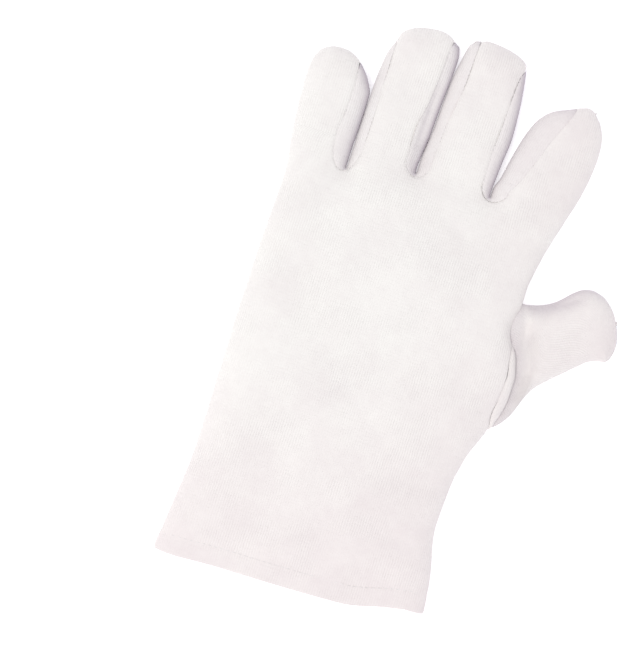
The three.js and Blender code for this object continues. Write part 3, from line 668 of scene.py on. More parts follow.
@dataclass(frozen=True)
class InterlockFinish:
    """Bleached cotton interlock, knitted and lightly raised: matt, white, with fine upright ribs and fuzz.

    Real ribs are about 0.8 mm apart, too fine to show, so they are drawn a little coarser. Each noise is
    given by its scale and its detail.
    """

    name: str
    white: str = "#faf9f4"
    shade: str = "#ebe6e4"
    rose: str = "#faf3f6"
    rose_centre: tuple[float, float] = (-0.06, 0.03)
    rose_reach: tuple[float, float] = (0.06, 0.19)
    rib_pitch: float = 0.00105
    course_pitch: float = 0.0016
    yarn_noise: tuple[float, float] = (160.0, 2.0)
    worn_noise: tuple[float, float] = (55.0, 2.0)
    fuzz_noise: tuple[float, float] = (1500.0, 4.0)
    cloud_noise: tuple[float, float] = (260.0, 3.0)
    patch_noise: tuple[float, float] = (42.0, 3.0)
    rib_wander: float = 0.0007
    worn_range: tuple[float, float] = (0.38, 0.62)
    worn_least: float = 0.25
    rib_share: float = 0.55
    course_share: float = 0.1
    cloud_share: float = 0.8
    valley_shade: float = -0.3
    cloud_shade: float = 0.45
    bump_height: float = 0.00032
    bump_strength: float = 0.7
    # Colour that the painted shade multiplies in, a greyer lavender
    painted_shade: str = "#c6bfcd"

    def make(self) -> bpy.types.Material:
        """Build the material."""
        material, shader = new_material(self.name, {
            "Roughness": 0.95, "Specular IOR Level": 0.15, "Sheen Weight": 0.25, "Sheen Roughness": 0.6})
        tree = material.node_tree
        place = add_node(tree, "ShaderNodeTexCoord").outputs["Object"]
        cloth = add_node(tree, "ShaderNodeUVMap", {"uv_map": "knit"}).outputs["UV"]
        yarn, worn, fuzz, cloud, patch = (
            add_node(tree, "ShaderNodeTexNoise",
                     inputs={"Vector": place, "Scale": scale, "Detail": detail}).outputs["Fac"]
            for scale, detail in (self.yarn_noise, self.worn_noise, self.fuzz_noise,
                                  self.cloud_noise, self.patch_noise))
        # Yarn runs a little crooked, so the ribs wander by a part of their width
        offset = add_node(tree, "ShaderNodeMath", {"operation": "MULTIPLY"}, {0: yarn, 1: self.rib_wander})
        parts = add_node(tree, "ShaderNodeSeparateXYZ", inputs={0: cloth})
        across = add_node(tree, "ShaderNodeMath", {"operation": "ADD"},
                          {0: parts.outputs["X"], 1: offset.outputs[0]})
        ribs = add_node(tree, "ShaderNodeMath", {"operation": "MULTIPLY"},
                        {0: across.outputs[0], 1: math.pi / self.rib_pitch})
        ribs = add_node(tree, "ShaderNodeMath", {"operation": "SINE"}, {0: ribs.outputs[0]})
        ribs = add_node(tree, "ShaderNodeMath", {"operation": "ABSOLUTE"}, {0: ribs.outputs[0]})
        loops = add_node(tree, "ShaderNodeMath", {"operation": "MULTIPLY"},
                         {0: parts.outputs["Y"], 1: math.tau / self.course_pitch})
        loops = add_node(tree, "ShaderNodeMath", {"operation": "SINE"}, {0: loops.outputs[0]})
        # Raising and washing blur the ribs in patches
        worn = add_node(tree, "ShaderNodeMapRange", inputs={
            "Value": worn, 1: self.worn_range[0], 2: self.worn_range[1], 3: self.worn_least, 4: 1.0})
        ribs = add_node(tree, "ShaderNodeMath", {"operation": "MULTIPLY"},
                        {0: ribs.outputs[0], 1: worn.outputs["Result"]})
        height = add_node(tree, "ShaderNodeMath", {"operation": "MULTIPLY_ADD"},
                          {0: ribs.outputs[0], 1: self.rib_share, 2: fuzz})
        height = add_node(tree, "ShaderNodeMath", {"operation": "MULTIPLY_ADD"},
                          {0: loops.outputs[0], 1: self.course_share, 2: height.outputs[0]})
        height = add_node(tree, "ShaderNodeMath", {"operation": "MULTIPLY_ADD"},
                          {0: cloud, 1: self.cloud_share, 2: height.outputs[0]})
        bump = add_node(tree, "ShaderNodeBump", inputs={
            "Strength": self.bump_strength, "Distance": self.bump_height, "Height": height.outputs[0]})
        # Washed cotton is never one white: slow warm and rosy patches; the valleys between ribs are painted
        # greyer, a painted shade
        valley = add_node(tree, "ShaderNodeMath", {"operation": "MULTIPLY_ADD"},
                          {0: ribs.outputs[0], 1: self.valley_shade, 2: patch})
        valley = add_node(tree, "ShaderNodeMath", {"operation": "MULTIPLY_ADD", "use_clamp": True},
                          {0: cloud, 1: self.cloud_shade, 2: valley.outputs[0]})
        tint = add_node(tree, "ShaderNodeMix", {"data_type": "RGBA"},
                        {0: valley.outputs[0], 6: linear(self.white), 7: linear(self.shade)})
        # The colour is multiplied towards rose with distance from a point near the middle of the palm
        away = add_node(tree, "ShaderNodeVectorMath", {"operation": "DISTANCE"},
                        {0: place, 1: (*self.rose_centre, 0.01)})
        away = add_node(tree, "ShaderNodeMapRange", inputs={
            "Value": away.outputs["Value"], 1: self.rose_reach[0], 2: self.rose_reach[1], 3: 0.0, 4: 1.0})
        rosy = add_node(tree, "ShaderNodeMix", {"data_type": "RGBA", "blend_type": "MULTIPLY"},
                        {0: away.outputs["Result"], 6: tint.outputs[2], 7: linear(self.rose)})
        # Painted shade: the colour is multiplied greyer by a per-vertex share, where the cloth turns down
        # into the gaps beside the next finger and under the palm's edge
        fold = add_node(tree, "ShaderNodeAttribute", {"attribute_name": "painted_shade"})
        painted_shade_mix = add_node(tree, "ShaderNodeMix", {"data_type": "RGBA", "blend_type": "MULTIPLY"},
                        {0: fold.outputs["Fac"], 6: rosy.outputs[2], 7: linear(self.painted_shade)})
        tree.links.new(painted_shade_mix.outputs[2], shader.inputs["Base Color"])
        tree.links.new(bump.outputs[0], shader.inputs["Normal"])
        return material


@dataclass(frozen=True)
class ThreadFinish:
    """Spun polyester sewing thread, twisted: a little smoother and greyer than the cloth."""

    name: str = "spun_sewing_thread"
    white: str = "#eeebea"
    shade: str = "#e2dedd"
    twist_scale: float = 277.78
    bump_height: float = 0.00008
    bump_strength: float = 0.5

    def make(self) -> bpy.types.Material:
        """Build the material."""
        material, shader = new_material(self.name, {"Roughness": 0.7, "Specular IOR Level": 0.3})
        tree = material.node_tree
        place = add_node(tree, "ShaderNodeTexCoord").outputs["Object"]
        twist = add_node(tree, "ShaderNodeTexWave", {"bands_direction": "DIAGONAL"},
                         {"Vector": place, "Scale": self.twist_scale, "Distortion": 1.0})
        bump = add_node(tree, "ShaderNodeBump", inputs={
            "Strength": self.bump_strength, "Distance": self.bump_height, "Height": twist.outputs["Fac"]})
        # The twist's grooves are painted darker than its ridges, a painted shade
        tint = add_node(tree, "ShaderNodeMix", {"data_type": "RGBA"},
                        {0: twist.outputs["Fac"], 6: linear(self.shade), 7: linear(self.white)})
        tree.links.new(tint.outputs[2], shader.inputs["Base Color"])
        tree.links.new(bump.outputs[0], shader.inputs["Normal"])
        return material


@dataclass
class ClothPiece:
    """A cut piece of knitted cloth with its own wall, made from a grid and its relief."""

    name: str
    slot: str
    finish: bpy.types.Material
    relief: Relief
    form: GloveForm
    creases: tuple[Crease, ...] = ()
    wall: float = 1.2
    outer: float = 0.0
    rim_steps: int = 3
    rim_bulge: float = 0.04
    # Painted shade: the way the cloth must face, how strong it is, below which height and over what depth it
    # darkens, and how fast it turns on
    shade_facing: tuple[float, float] = (0.0, 0.0)
    shade_strength: float = 1.0
    shade_height: float = 13.2
    shade_depth: float = 7.0
    shade_turn: float = 0.8
    sharp_angle: float = 40.0

    def surface(self) -> Grid:
        """Grid of the piece's outer skin; each kind of piece has its own."""
        raise NotImplementedError

    def height(self, points: Array, normals: Array) -> Array:
        """Relief of the piece's surface, along its normals: its seams and creases."""
        return self.relief.sewn(points) + self.creased(points)

    def creased(self, points: Array) -> Array:
        """Height that the creases add."""
        return sum((crease.height(points[:, :2]) for crease in self.creases), np.zeros(len(points)))

    def painted_shade(self, points: Array, normals: Array) -> Array:
        """Share of painted shade at each vertex, 0 to 1: where the cloth faces the set way and lies low, as
        in the shade of the next finger.
        """
        turned = smooth(normals[:, :2] @ np.array(self.shade_facing) / self.shade_turn)
        deep = smooth((self.shade_height - points[:, 2]) / self.shade_depth)
        return self.shade_strength * turned * deep

    def build(self) -> bpy.types.Object:
        """Make the piece's mesh, dress it and put it in the scene.

        Returns:
            The object, at the origin, with its place in its mesh.
        """
        grid = self.surface()
        base = grid.points.reshape(-1, 3)
        quads = grid.quads(grid.vertex_numbers())
        corners = grid.quads(np.arange(grid.knit[..., 0].size).reshape(grid.knit.shape[:2]))
        _, first, same = np.unique(np.round(base, 3), axis=0, return_index=True, return_inverse=True)
        quads = same.reshape(-1)[quads]
        points = base[first]
        normals = vertex_normals(points, quads)
        used = np.unique(quads)
        lift = np.zeros(len(points))
        lift[used] = self.height(points[used], normals[used])
        thin = np.ones(len(points)) if grid.thin is None else grid.thin.reshape(-1)[first]
        points = points + normals * (lift * thin)[:, None]
        points[:, 2] = np.maximum(points[:, 2], 0)
        normals = vertex_normals(points, quads)
        mesh = self.walled(points, normals, quads, corners, grid, thin[:, None])
        obj = add_object(self.name, mesh)
        obj.data.materials.append(self.finish)
        log.info("%s: %d faces", self.name, len(mesh.polygons))
        return obj

    def walled(self, points: Array, normals: Array, quads: Array, corners: Array,
               grid: Grid, thin: Array) -> bpy.types.Mesh:
        """Give a surface its wall and rounded rims.

        Args:
            points: vertices of the outer skin before it is set in.
            normals: their normals.
            quads: faces by vertex number.
            corners: the same faces by grid number, for the knit's lines.
            grid: the grid that they come from.
            thin: share of the wall that each vertex keeps.

        Returns:
            The closed mesh, in metres in the row's frame.
        """
        count = len(points)
        start = np.concatenate([quads[:, k] for k in range(4)])
        end = np.concatenate([quads[:, (k + 1) % 4] for k in range(4)])
        start_knit = np.concatenate([corners[:, k] for k in range(4)])
        end_knit = np.concatenate([corners[:, (k + 1) % 4] for k in range(4)])
        face = np.tile(np.arange(len(quads)), 4)
        border = ~np.isin(start * count + end, end * count + start) & (start != end)
        start, end, face = start[border], end[border], face[border]
        start_knit, end_knit = start_knit[border], end_knit[border]
        across = points[quads[face, 2]] - points[quads[face, 0]]
        facing = unit(np.cross(across, points[quads[face, 3]] - points[quads[face, 1]]))
        outward = unit(np.cross(points[end] - points[start], facing))
        out = np.zeros_like(points)
        np.add.at(out, start, outward)
        np.add.at(out, end, outward)
        out = unit(out)
        rim = np.unique(np.r_[start, end])
        rim_number = np.zeros(count, int)
        rim_number[rim] = np.arange(len(rim))
        skins = [points - normals * self.outer, points - normals * (self.outer + self.wall * thin)]
        layers = []
        for k in range(1, self.rim_steps):
            share = k / self.rim_steps
            depth = self.outer + self.wall * (1 - math.cos(share * math.pi)) / 2
            bulge = self.rim_bulge * math.sin(share * math.pi)
            layers.append(points[rim] + (out[rim] * bulge - normals[rim] * depth) * thin[rim])
        vertices = np.concatenate([*skins, *layers])
        vertices[:, 2] = np.maximum(vertices[:, 2], 0)
        ladder = [(start, end)]
        for k in range(self.rim_steps - 1):
            base = 2 * count + k * len(rim)
            ladder.append((base + rim_number[start], base + rim_number[end]))
        ladder.append((count + start, count + end))
        faces = [quads, quads[:, ::-1] + count]
        labels = [corners, corners[:, ::-1]]
        for (a, b), (a2, b2) in zip(ladder, ladder[1:]):
            faces.append(np.stack([b, a, a2, b2], axis=1))
            labels.append(np.stack([end_knit, start_knit, start_knit, end_knit], axis=1))
        faces, labels = np.concatenate(faces), np.concatenate(labels)
        keep = (faces[:, 0] != faces[:, 1]) & (faces[:, 2] != faces[:, 3])
        faces, labels = faces[keep], labels[keep]
        mesh = bpy.data.meshes.new(self.name)
        mesh.from_pydata(((vertices + GLOVE_TO_ROW) / 1000).tolist(), [], faces.tolist())
        layer = mesh.uv_layers.new(name="knit")
        layer.data.foreach_set("uv", (grid.knit.reshape(-1, 2)[labels.reshape(-1)] / 1000).ravel())
        # Painted shade for each vertex, stored as an attribute that the finish reads
        painted_shade = self.painted_shade(points, normals)
        painted_shade = np.concatenate([painted_shade, painted_shade] + [painted_shade[rim]] * (self.rim_steps - 1))
        mesh.attributes.new("painted_shade", "FLOAT", "POINT").data.foreach_set("value", painted_shade)
        mesh.polygons.foreach_set("use_smooth", [True] * len(mesh.polygons))
        mesh.validate()
        mesh.update()
        mesh.set_sharp_from_angle(angle=math.radians(self.sharp_angle))
        return mesh


def steps_along(points: Array, axis: int) -> Array:
    """Distance along the rows (axis 0) or columns (axis 1) of a grid, from its start."""
    gap = np.linalg.norm(np.diff(points, axis=axis), axis=-1)
    pad = [(1, 0), (0, 0)] if axis == 0 else [(0, 0), (1, 0)]
    return np.cumsum(np.pad(gap, pad), axis=axis)


def ring_grid(points: Array) -> Grid:
    """Make the grid of a closed ring of cloth.

    Args:
        points: its rows, each once round.

    Returns:
        The grid, with cloth in every cell.
    """
    closed = np.concatenate([points, points[:, :1]], axis=1)
    knit = np.stack([steps_along(closed, 1), steps_along(closed, 0)], axis=-1)
    return Grid(points, knit, np.ones((len(points) - 1, points.shape[1]), bool), ring=True)


@dataclass
class Panel(ClothPiece):
    """A panel cut in one with its side of the four fingers, rolled over the glove's outer sides."""

    layer: Layer = Layer.BACK
    strip_steps: int = 20
    web_steps: int = 18
    roll_steps: int = 12
    palm_rows: tuple[int, int, int] = (64, 46, 34)
    finger_rows: int = 34
    tip_rows: int = 14
    fold_steps: int = 6
    fold_radius: float = 1.25
    lip_share: float = 0.826
    lip_steps: int = 4
    fan_reach: float = 26.0
    fan_share: float = 0.85
    row_crowding: float = 1.35
    web_points: int = 181
    hem_row: float = 8.4
    hem_groove_depth: float = 0.22
    hem_groove_width: float = 0.7
    hem_facing: float = 0.8
    swell_start: float = 2.0
    swell_fade: float = 10.0
    welt_height: float = 0.8
    welt_rows: tuple[float, float] = (84.0, 128.0)
    welt_fades: tuple[float, float] = (8.0, 6.0)
    welt_least: float = 0.3

    def columns(self) -> tuple[Array, Array, Array]:
        """Columns across the panel where the fingers begin.

        Returns:
            Each column's finger (-1 in a web), its share across that strip, and its place.
        """
        finger, share, place = [], [], []
        half = self.form.seam_gap / 2
        for index, item in enumerate(self.form.fingers):
            left = self.form.strip_limit(item, Side.LEFT, self.layer, self.form.start, half)
            right = self.form.strip_limit(item, Side.RIGHT, self.layer, self.form.start, half)
            shares = spread(self.strip_steps)
            finger += [index] * len(shares)
            share += list(shares)
            place += [(lerp(left, right, s), self.form.start) for s in shares]
            if index < len(self.form.slot_bottoms):
                turns = self.even_turns(index)
                finger += [-1] * len(turns)
                share += list(turns)
                place += [tuple(p) for p in self.form.web_line(index, self.layer, turns, half)]
        return np.array(finger), np.array(share), np.array(place, float)

    def even_turns(self, index: int) -> Array:
        """Turns along a web that part it into pieces of one length."""
        turns = np.linspace(0, 1, self.web_points)
        line = self.form.web_line(index, self.layer, turns, self.form.seam_gap / 2)
        arc = arc_length(line)
        return np.interp(np.linspace(0, arc[-1], self.web_steps + 1)[1:-1], arc, turns)

    def fan(self, finger: Array, share: Array, place: Array) -> Array:
        """Where the columns stand a little below the webs, fanned out so that they meet the seams squarely.

        Args:
            finger: each column's finger, -1 in a web.
            share: its share across that strip.
            place: its place where the fingers begin.

        Returns:
            The places across the panel.
        """
        fan = place[:, 0].copy()
        for index in range(len(self.form.slot_bottoms)):
            first = np.flatnonzero(finger == index)[-1]
            last = np.flatnonzero(finger == index + 1)[0]
            line = place[first:last + 1]
            arc = arc_length(line)
            fan[first:last + 1] = line[[0, -1], 0].mean() + (arc - arc[-1] / 2) * self.fan_share
        for index in range(len(self.form.fingers)):
            own = np.flatnonzero(finger == index)
            fan[own] = lerp(fan[own[0]], fan[own[-1]], share[own])
        return fan

    def heights(self) -> Array:
        """Rows up the palm, closer together near the seams below the fingers."""
        form = self.form
        low, middle, high = self.palm_rows
        rest = 1 - (1 - np.linspace(0, 1, high + 1)) ** self.row_crowding
        return np.concatenate([
            lerp(self.fold_radius, form.hole_bottom, np.linspace(0, 1, low + 1)[:-1]),
            lerp(form.hole_bottom, form.hole_top, np.linspace(0, 1, middle + 1)[:-1]),
            lerp(form.hole_top, form.start, rest),
        ])

    def finger_shares(self, finger: Finger) -> Array:
        """Rows up a finger: even at first, closer together as the tip rounds over."""
        form = self.form
        tip = form.palm_thickness * form.tip_round / (form.palm_length + finger.length - form.start)
        even = (1 - tip) * np.linspace(0, 1, self.finger_rows + 1)[1:]
        turn = np.linspace(0, 1, self.tip_rows + 1)[1:] * math.pi / 2
        return np.concatenate([even, 1 - tip * (1 - np.sin(turn))])

    def plan(self) -> tuple[Array, Array]:
        """Plan of the panel's flat part.

        Returns:
            The place in the plane of every row and column, and whether each place has cloth.
        """
        form = self.form
        finger, share, place = self.columns()
        heights = self.heights()[:, None]
        spread_out = smooth(heights / form.start)
        dip = smooth((heights - form.hole_top) / (form.start - form.hole_top))
        hem = np.maximum(0, 1 - heights / (form.hem_blend * form.hem_depth))
        even = np.linspace(0, 1, len(share))
        near = np.clip(1 - (form.start - heights) / self.fan_reach, 0, 1) ** 2
        top = lerp(self.fan(finger, share, place), place[:, 0], near)
        top = (top - place[0, 0]) / (place[-1, 0] - place[0, 0])
        across = lerp(even, top, spread_out)
        left = form.palm_limit(Side.LEFT, self.layer, heights)
        right = form.palm_limit(Side.RIGHT, self.layer, heights)
        x = lerp(left, right, across)
        step = 0 if self.layer is Layer.BACK else form.hem_step * (1 - np.abs(2 * across - 1) ** 4)
        y = heights - (form.start - place[:, 1]) * dip + (form.hem_drop(x) - step) * hem
        palm = np.stack([x, y], axis=-1)
        rows = self.finger_rows + self.tip_rows
        tips = np.full((rows, len(share), 2), np.nan)
        half = form.seam_gap / 2
        for index, item in enumerate(form.fingers):
            own = finger == index
            s = share[own]
            climb = self.finger_shares(item)[:, None]
            corners = form.corner(item, Side.LEFT), form.corner(item, Side.RIGHT)
            left_y = lerp(form.start, corners[0][1], climb)
            right_y = lerp(form.start, corners[1][1], climb)
            left_x = form.strip_limit(item, Side.LEFT, self.layer, left_y, half)
            right_x = form.strip_limit(item, Side.RIGHT, self.layer, right_y, half)
            tip = form.tip_height(item, lerp(left_x[-1], right_x[-1], s))
            tips[:, own, 0] = lerp(left_x, right_x, s)
            tips[:, own, 1] = lerp(form.start, tip, climb)
        places = np.concatenate([palm, tips])
        return places, ~np.isnan(places[..., 0])

    def roll_angles(self, side: Side, y: Array) -> Array:
        """Angles of the rolled columns at one side, from the shoulder to the side seam."""
        sign = self.layer.value
        start = self.form.shoulder_angle if sign > 0 else -self.form.under_angle
        gap = self.form.seam_angle_gap
        if side is Side.RIGHT:
            off = (y - self.form.seam_open_place) / self.form.seam_open_reach
            gap = gap + self.form.seam_open_angle * np.exp(-(off**2))
        end = self.form.seam_angle(side, y) + sign * gap
        shares = np.linspace(0, 1, self.roll_steps + 1)[1:]
        if self.layer is Layer.PALM:
            early = np.sin(np.linspace(0, 1, self.roll_steps - self.lip_steps + 1) * math.pi / 2)[1:]
            late = np.linspace(self.lip_share, 1, self.lip_steps + 1)[1:]
            shares = np.concatenate([early * self.lip_share, late])
        return lerp(start, end[:, None], shares)

    def surface(self) -> Grid:
        """Grid of the whole panel: its flat part, rolls at the sides, and the fold at the mouth."""
        plan, real = self.plan()
        filled = np.where(real[..., None], plan, 0)
        inset = self.form.outline.near(filled.reshape(-1, 2))[0].reshape(filled.shape[:2])
        # The two layers meet at the fingertips
        inset[-1] = 0
        flat = self.form.skin(filled, self.layer, inset)
        left_y, right_y = plan[:, 0, 1], plan[:, -1, 1]
        left_angles, right_angles = self.roll_angles(Side.LEFT, left_y), self.roll_angles(Side.RIGHT, right_y)
        left = self.form.roll(Side.LEFT, left_y[:, None] + 0 * left_angles, left_angles)[:, ::-1]
        right = self.form.roll(Side.RIGHT, right_y[:, None] + 0 * right_angles, right_angles)
        points = np.concatenate([left, flat, right], axis=1)
        real = np.pad(real, [(0, 0), (self.roll_steps, self.roll_steps)], constant_values=True)
        points = np.where(real[..., None], points, np.nan)
        points = np.concatenate([self.fold(points), points])
        real = np.concatenate([np.repeat(real[:1], self.fold_steps, axis=0), real])
        cloth = real[:-1, :-1] & real[:-1, 1:] & real[1:, :-1] & real[1:, 1:]
        if self.layer is Layer.PALM:
            low = self.fold_steps + self.palm_rows[0]
            start = points.shape[1] - 1 - self.roll_steps
            cloth[low:low + self.palm_rows[1], start:start + self.roll_steps - self.lip_steps] = False
        knit = self.knit_places(points)
        if self.layer is Layer.PALM:
            points, knit, cloth = points[:, ::-1], knit[:, ::-1], cloth[:, ::-1]
        return Grid(np.nan_to_num(points), knit, cloth)

    def knit_places(self, points: Array) -> Array:
        """Place of each point in the cloth, across and along the ribs.

        Args:
            points: the panel's grid, with no numbers where there is no cloth.

        Returns:
            Across and along for each point, in millimetres.
        """
        start = self.fold_steps + sum(self.palm_rows)
        middle = self.roll_steps + len(self.columns()[0]) // 2
        flat = points.copy()
        flat[..., 1] = 0
        across = steps_along(np.nan_to_num(flat), 1)
        across = across - across[:, middle:middle + 1] + np.nan_to_num(points[:, middle:middle + 1, 0])
        finger = np.pad(self.columns()[0], self.roll_steps, mode="edge")
        for index in range(len(self.form.fingers)):
            own = np.flatnonzero(finger == index)
            centre = own[len(own) // 2]
            strip = steps_along(flat[start:, own], 1)
            strip -= strip[:, [centre - own[0]]]
            drift = points[start:, [centre], 0] - points[start, centre, 0]
            across[start:, own] = across[start, centre] + strip + drift
        along = steps_along(np.where(np.isnan(points), 0, points)[:, [middle]], 0) + 0 * across
        along = np.where(np.isnan(points[..., 1]), along, points[..., 1])
        return np.stack([across, along], axis=-1)

    def fold(self, points: Array) -> Array:
        """Rows in which the cloth turns in at the mouth, from inside the hem out to the panel."""
        first = points[0]
        back = unit(first - points[1])
        side = np.gradient(first, axis=0)
        normal = unit(np.cross(side, -back))
        if self.layer is Layer.PALM:
            normal = -normal
        rows = []
        for turn in np.linspace(math.pi, 0, self.fold_steps + 1)[:-1]:
            deep = self.fold_radius * (1 - math.cos(turn))
            rows.append(first + back * self.fold_radius * math.sin(turn) - normal * deep)
        return np.array(rows)

    def height(self, points: Array, normals: Array) -> Array:
        """Relief: seams, soft creases, slow swells and the stitched hem."""
        total = self.relief.sewn(points)
        off = points[:, 1] - self.form.hem_drop(points[:, 0]) - self.hem_row
        groove = self.hem_groove_depth * np.exp(-((off / self.hem_groove_width) ** 2))
        total -= groove * (np.abs(normals[:, 1]) < self.hem_facing)
        if self.layer is Layer.PALM:
            return total + self.welt(points) * (normals[:, 2] > 0)
        soft = (self.relief.swell(points[:, :2]) + self.creased(points)) * np.clip(normals[:, 2], 0, 1)
        return total + soft * smooth((points[:, 1] - self.swell_start) / self.swell_fade)

    def welt(self, points: Array) -> Array:
        """Height of the soft welt that the palm's edge forms between the side seam and the thumb."""
        form = self.form
        y = points[:, 1]
        wide = form.edge_in(form.seam_angle(Side.RIGHT, y), form.round_width(y, Layer.BACK))
        inset = form.glove_edge(Side.RIGHT, y) - points[:, 0]
        low, high = self.welt_rows
        near = smooth((y - low) / self.welt_fades[0]) * smooth((high - y) / self.welt_fades[1])
        across = np.clip(inset / np.maximum(wide, self.welt_least), 0, 1)
        return self.welt_height * near * np.sin(math.pi * across)


@dataclass
class Fourchette(ClothPiece):
    """A side strip of two fingers: down one, round the crotch and up the other."""

    index: int = 0
    side_rows: int = 70
    web_rows: int = 30
    under_steps: int = 9
    top_steps: int = 11
    last_share: float = 0.998
    edge_points: int = 400
    full_width: float = 7.5
    least_wall: float = 0.03

    def even_heights(self, finger: Finger, side: Side) -> Array:
        """Heights up a finger's side that part its edge into pieces of one length."""
        form = self.form
        shares = np.linspace(0, 1, self.edge_points) * self.last_share
        y = lerp(form.start, form.corner(finger, side)[1], shares)
        edge = np.stack([form.side_line(finger, side, 0, y), y], axis=-1)
        arc = arc_length(edge)
        return np.interp(np.linspace(0, arc[-1], self.side_rows + 1), arc, y)

    def station_lines(self) -> tuple[Array, Array, Array]:
        """Stations along the strip.

        Returns:
            The plan's points of its lower seam, its outermost line and its upper seam.
        """
        form = self.form
        half = -form.seam_gap / 2
        runs = []
        for side, finger in form.slot_sides(self.index):
            y = self.even_heights(finger, side)
            lines = (form.strip_limit(finger, side, Layer.PALM, y, half),
                     form.side_line(finger, side, 0, y),
                     form.strip_limit(finger, side, Layer.BACK, y, half))
            run = [np.stack([x, y], axis=-1) for x in lines]
            runs.append([line[::-1] for line in run] if side is Side.RIGHT else run)
        turn = np.linspace(0, 1, self.web_rows + 1)[1:-1]
        web = (form.web_line(self.index, Layer.PALM, turn, half), form.slot_edge(self.index, turn),
               form.web_line(self.index, Layer.BACK, turn, half))
        return tuple(np.concatenate([runs[0][k], web[k], runs[1][k]]) for k in range(3))

    def surface(self) -> Grid:
        """Grid of the strip, from its lower seam over its outermost line to its upper seam."""
        under, edge, top = self.station_lines()
        shares = (1 - np.arange(self.under_steps) / self.under_steps) ** 2
        low = lerp(edge[:, None], under[:, None], shares[None, :, None])
        shares = (np.arange(self.top_steps + 1) / self.top_steps) ** 2
        high = lerp(edge[:, None], top[:, None], shares[None, :, None])
        points = np.concatenate([self.form.skin(low, Layer.PALM), self.form.skin(high, Layer.BACK)], axis=1)
        cloth = np.ones((points.shape[0] - 1, points.shape[1] - 1), bool)
        knit = np.stack([steps_along(points, 1), steps_along(points, 0)], axis=-1)
        width = np.linalg.norm(top - edge, axis=1) + np.linalg.norm(under - edge, axis=1)
        thin = np.clip(width / self.full_width, self.least_wall, 1)[:, None] + 0 * points[..., 0]
        return Grid(points, knit, cloth, thin=thin)


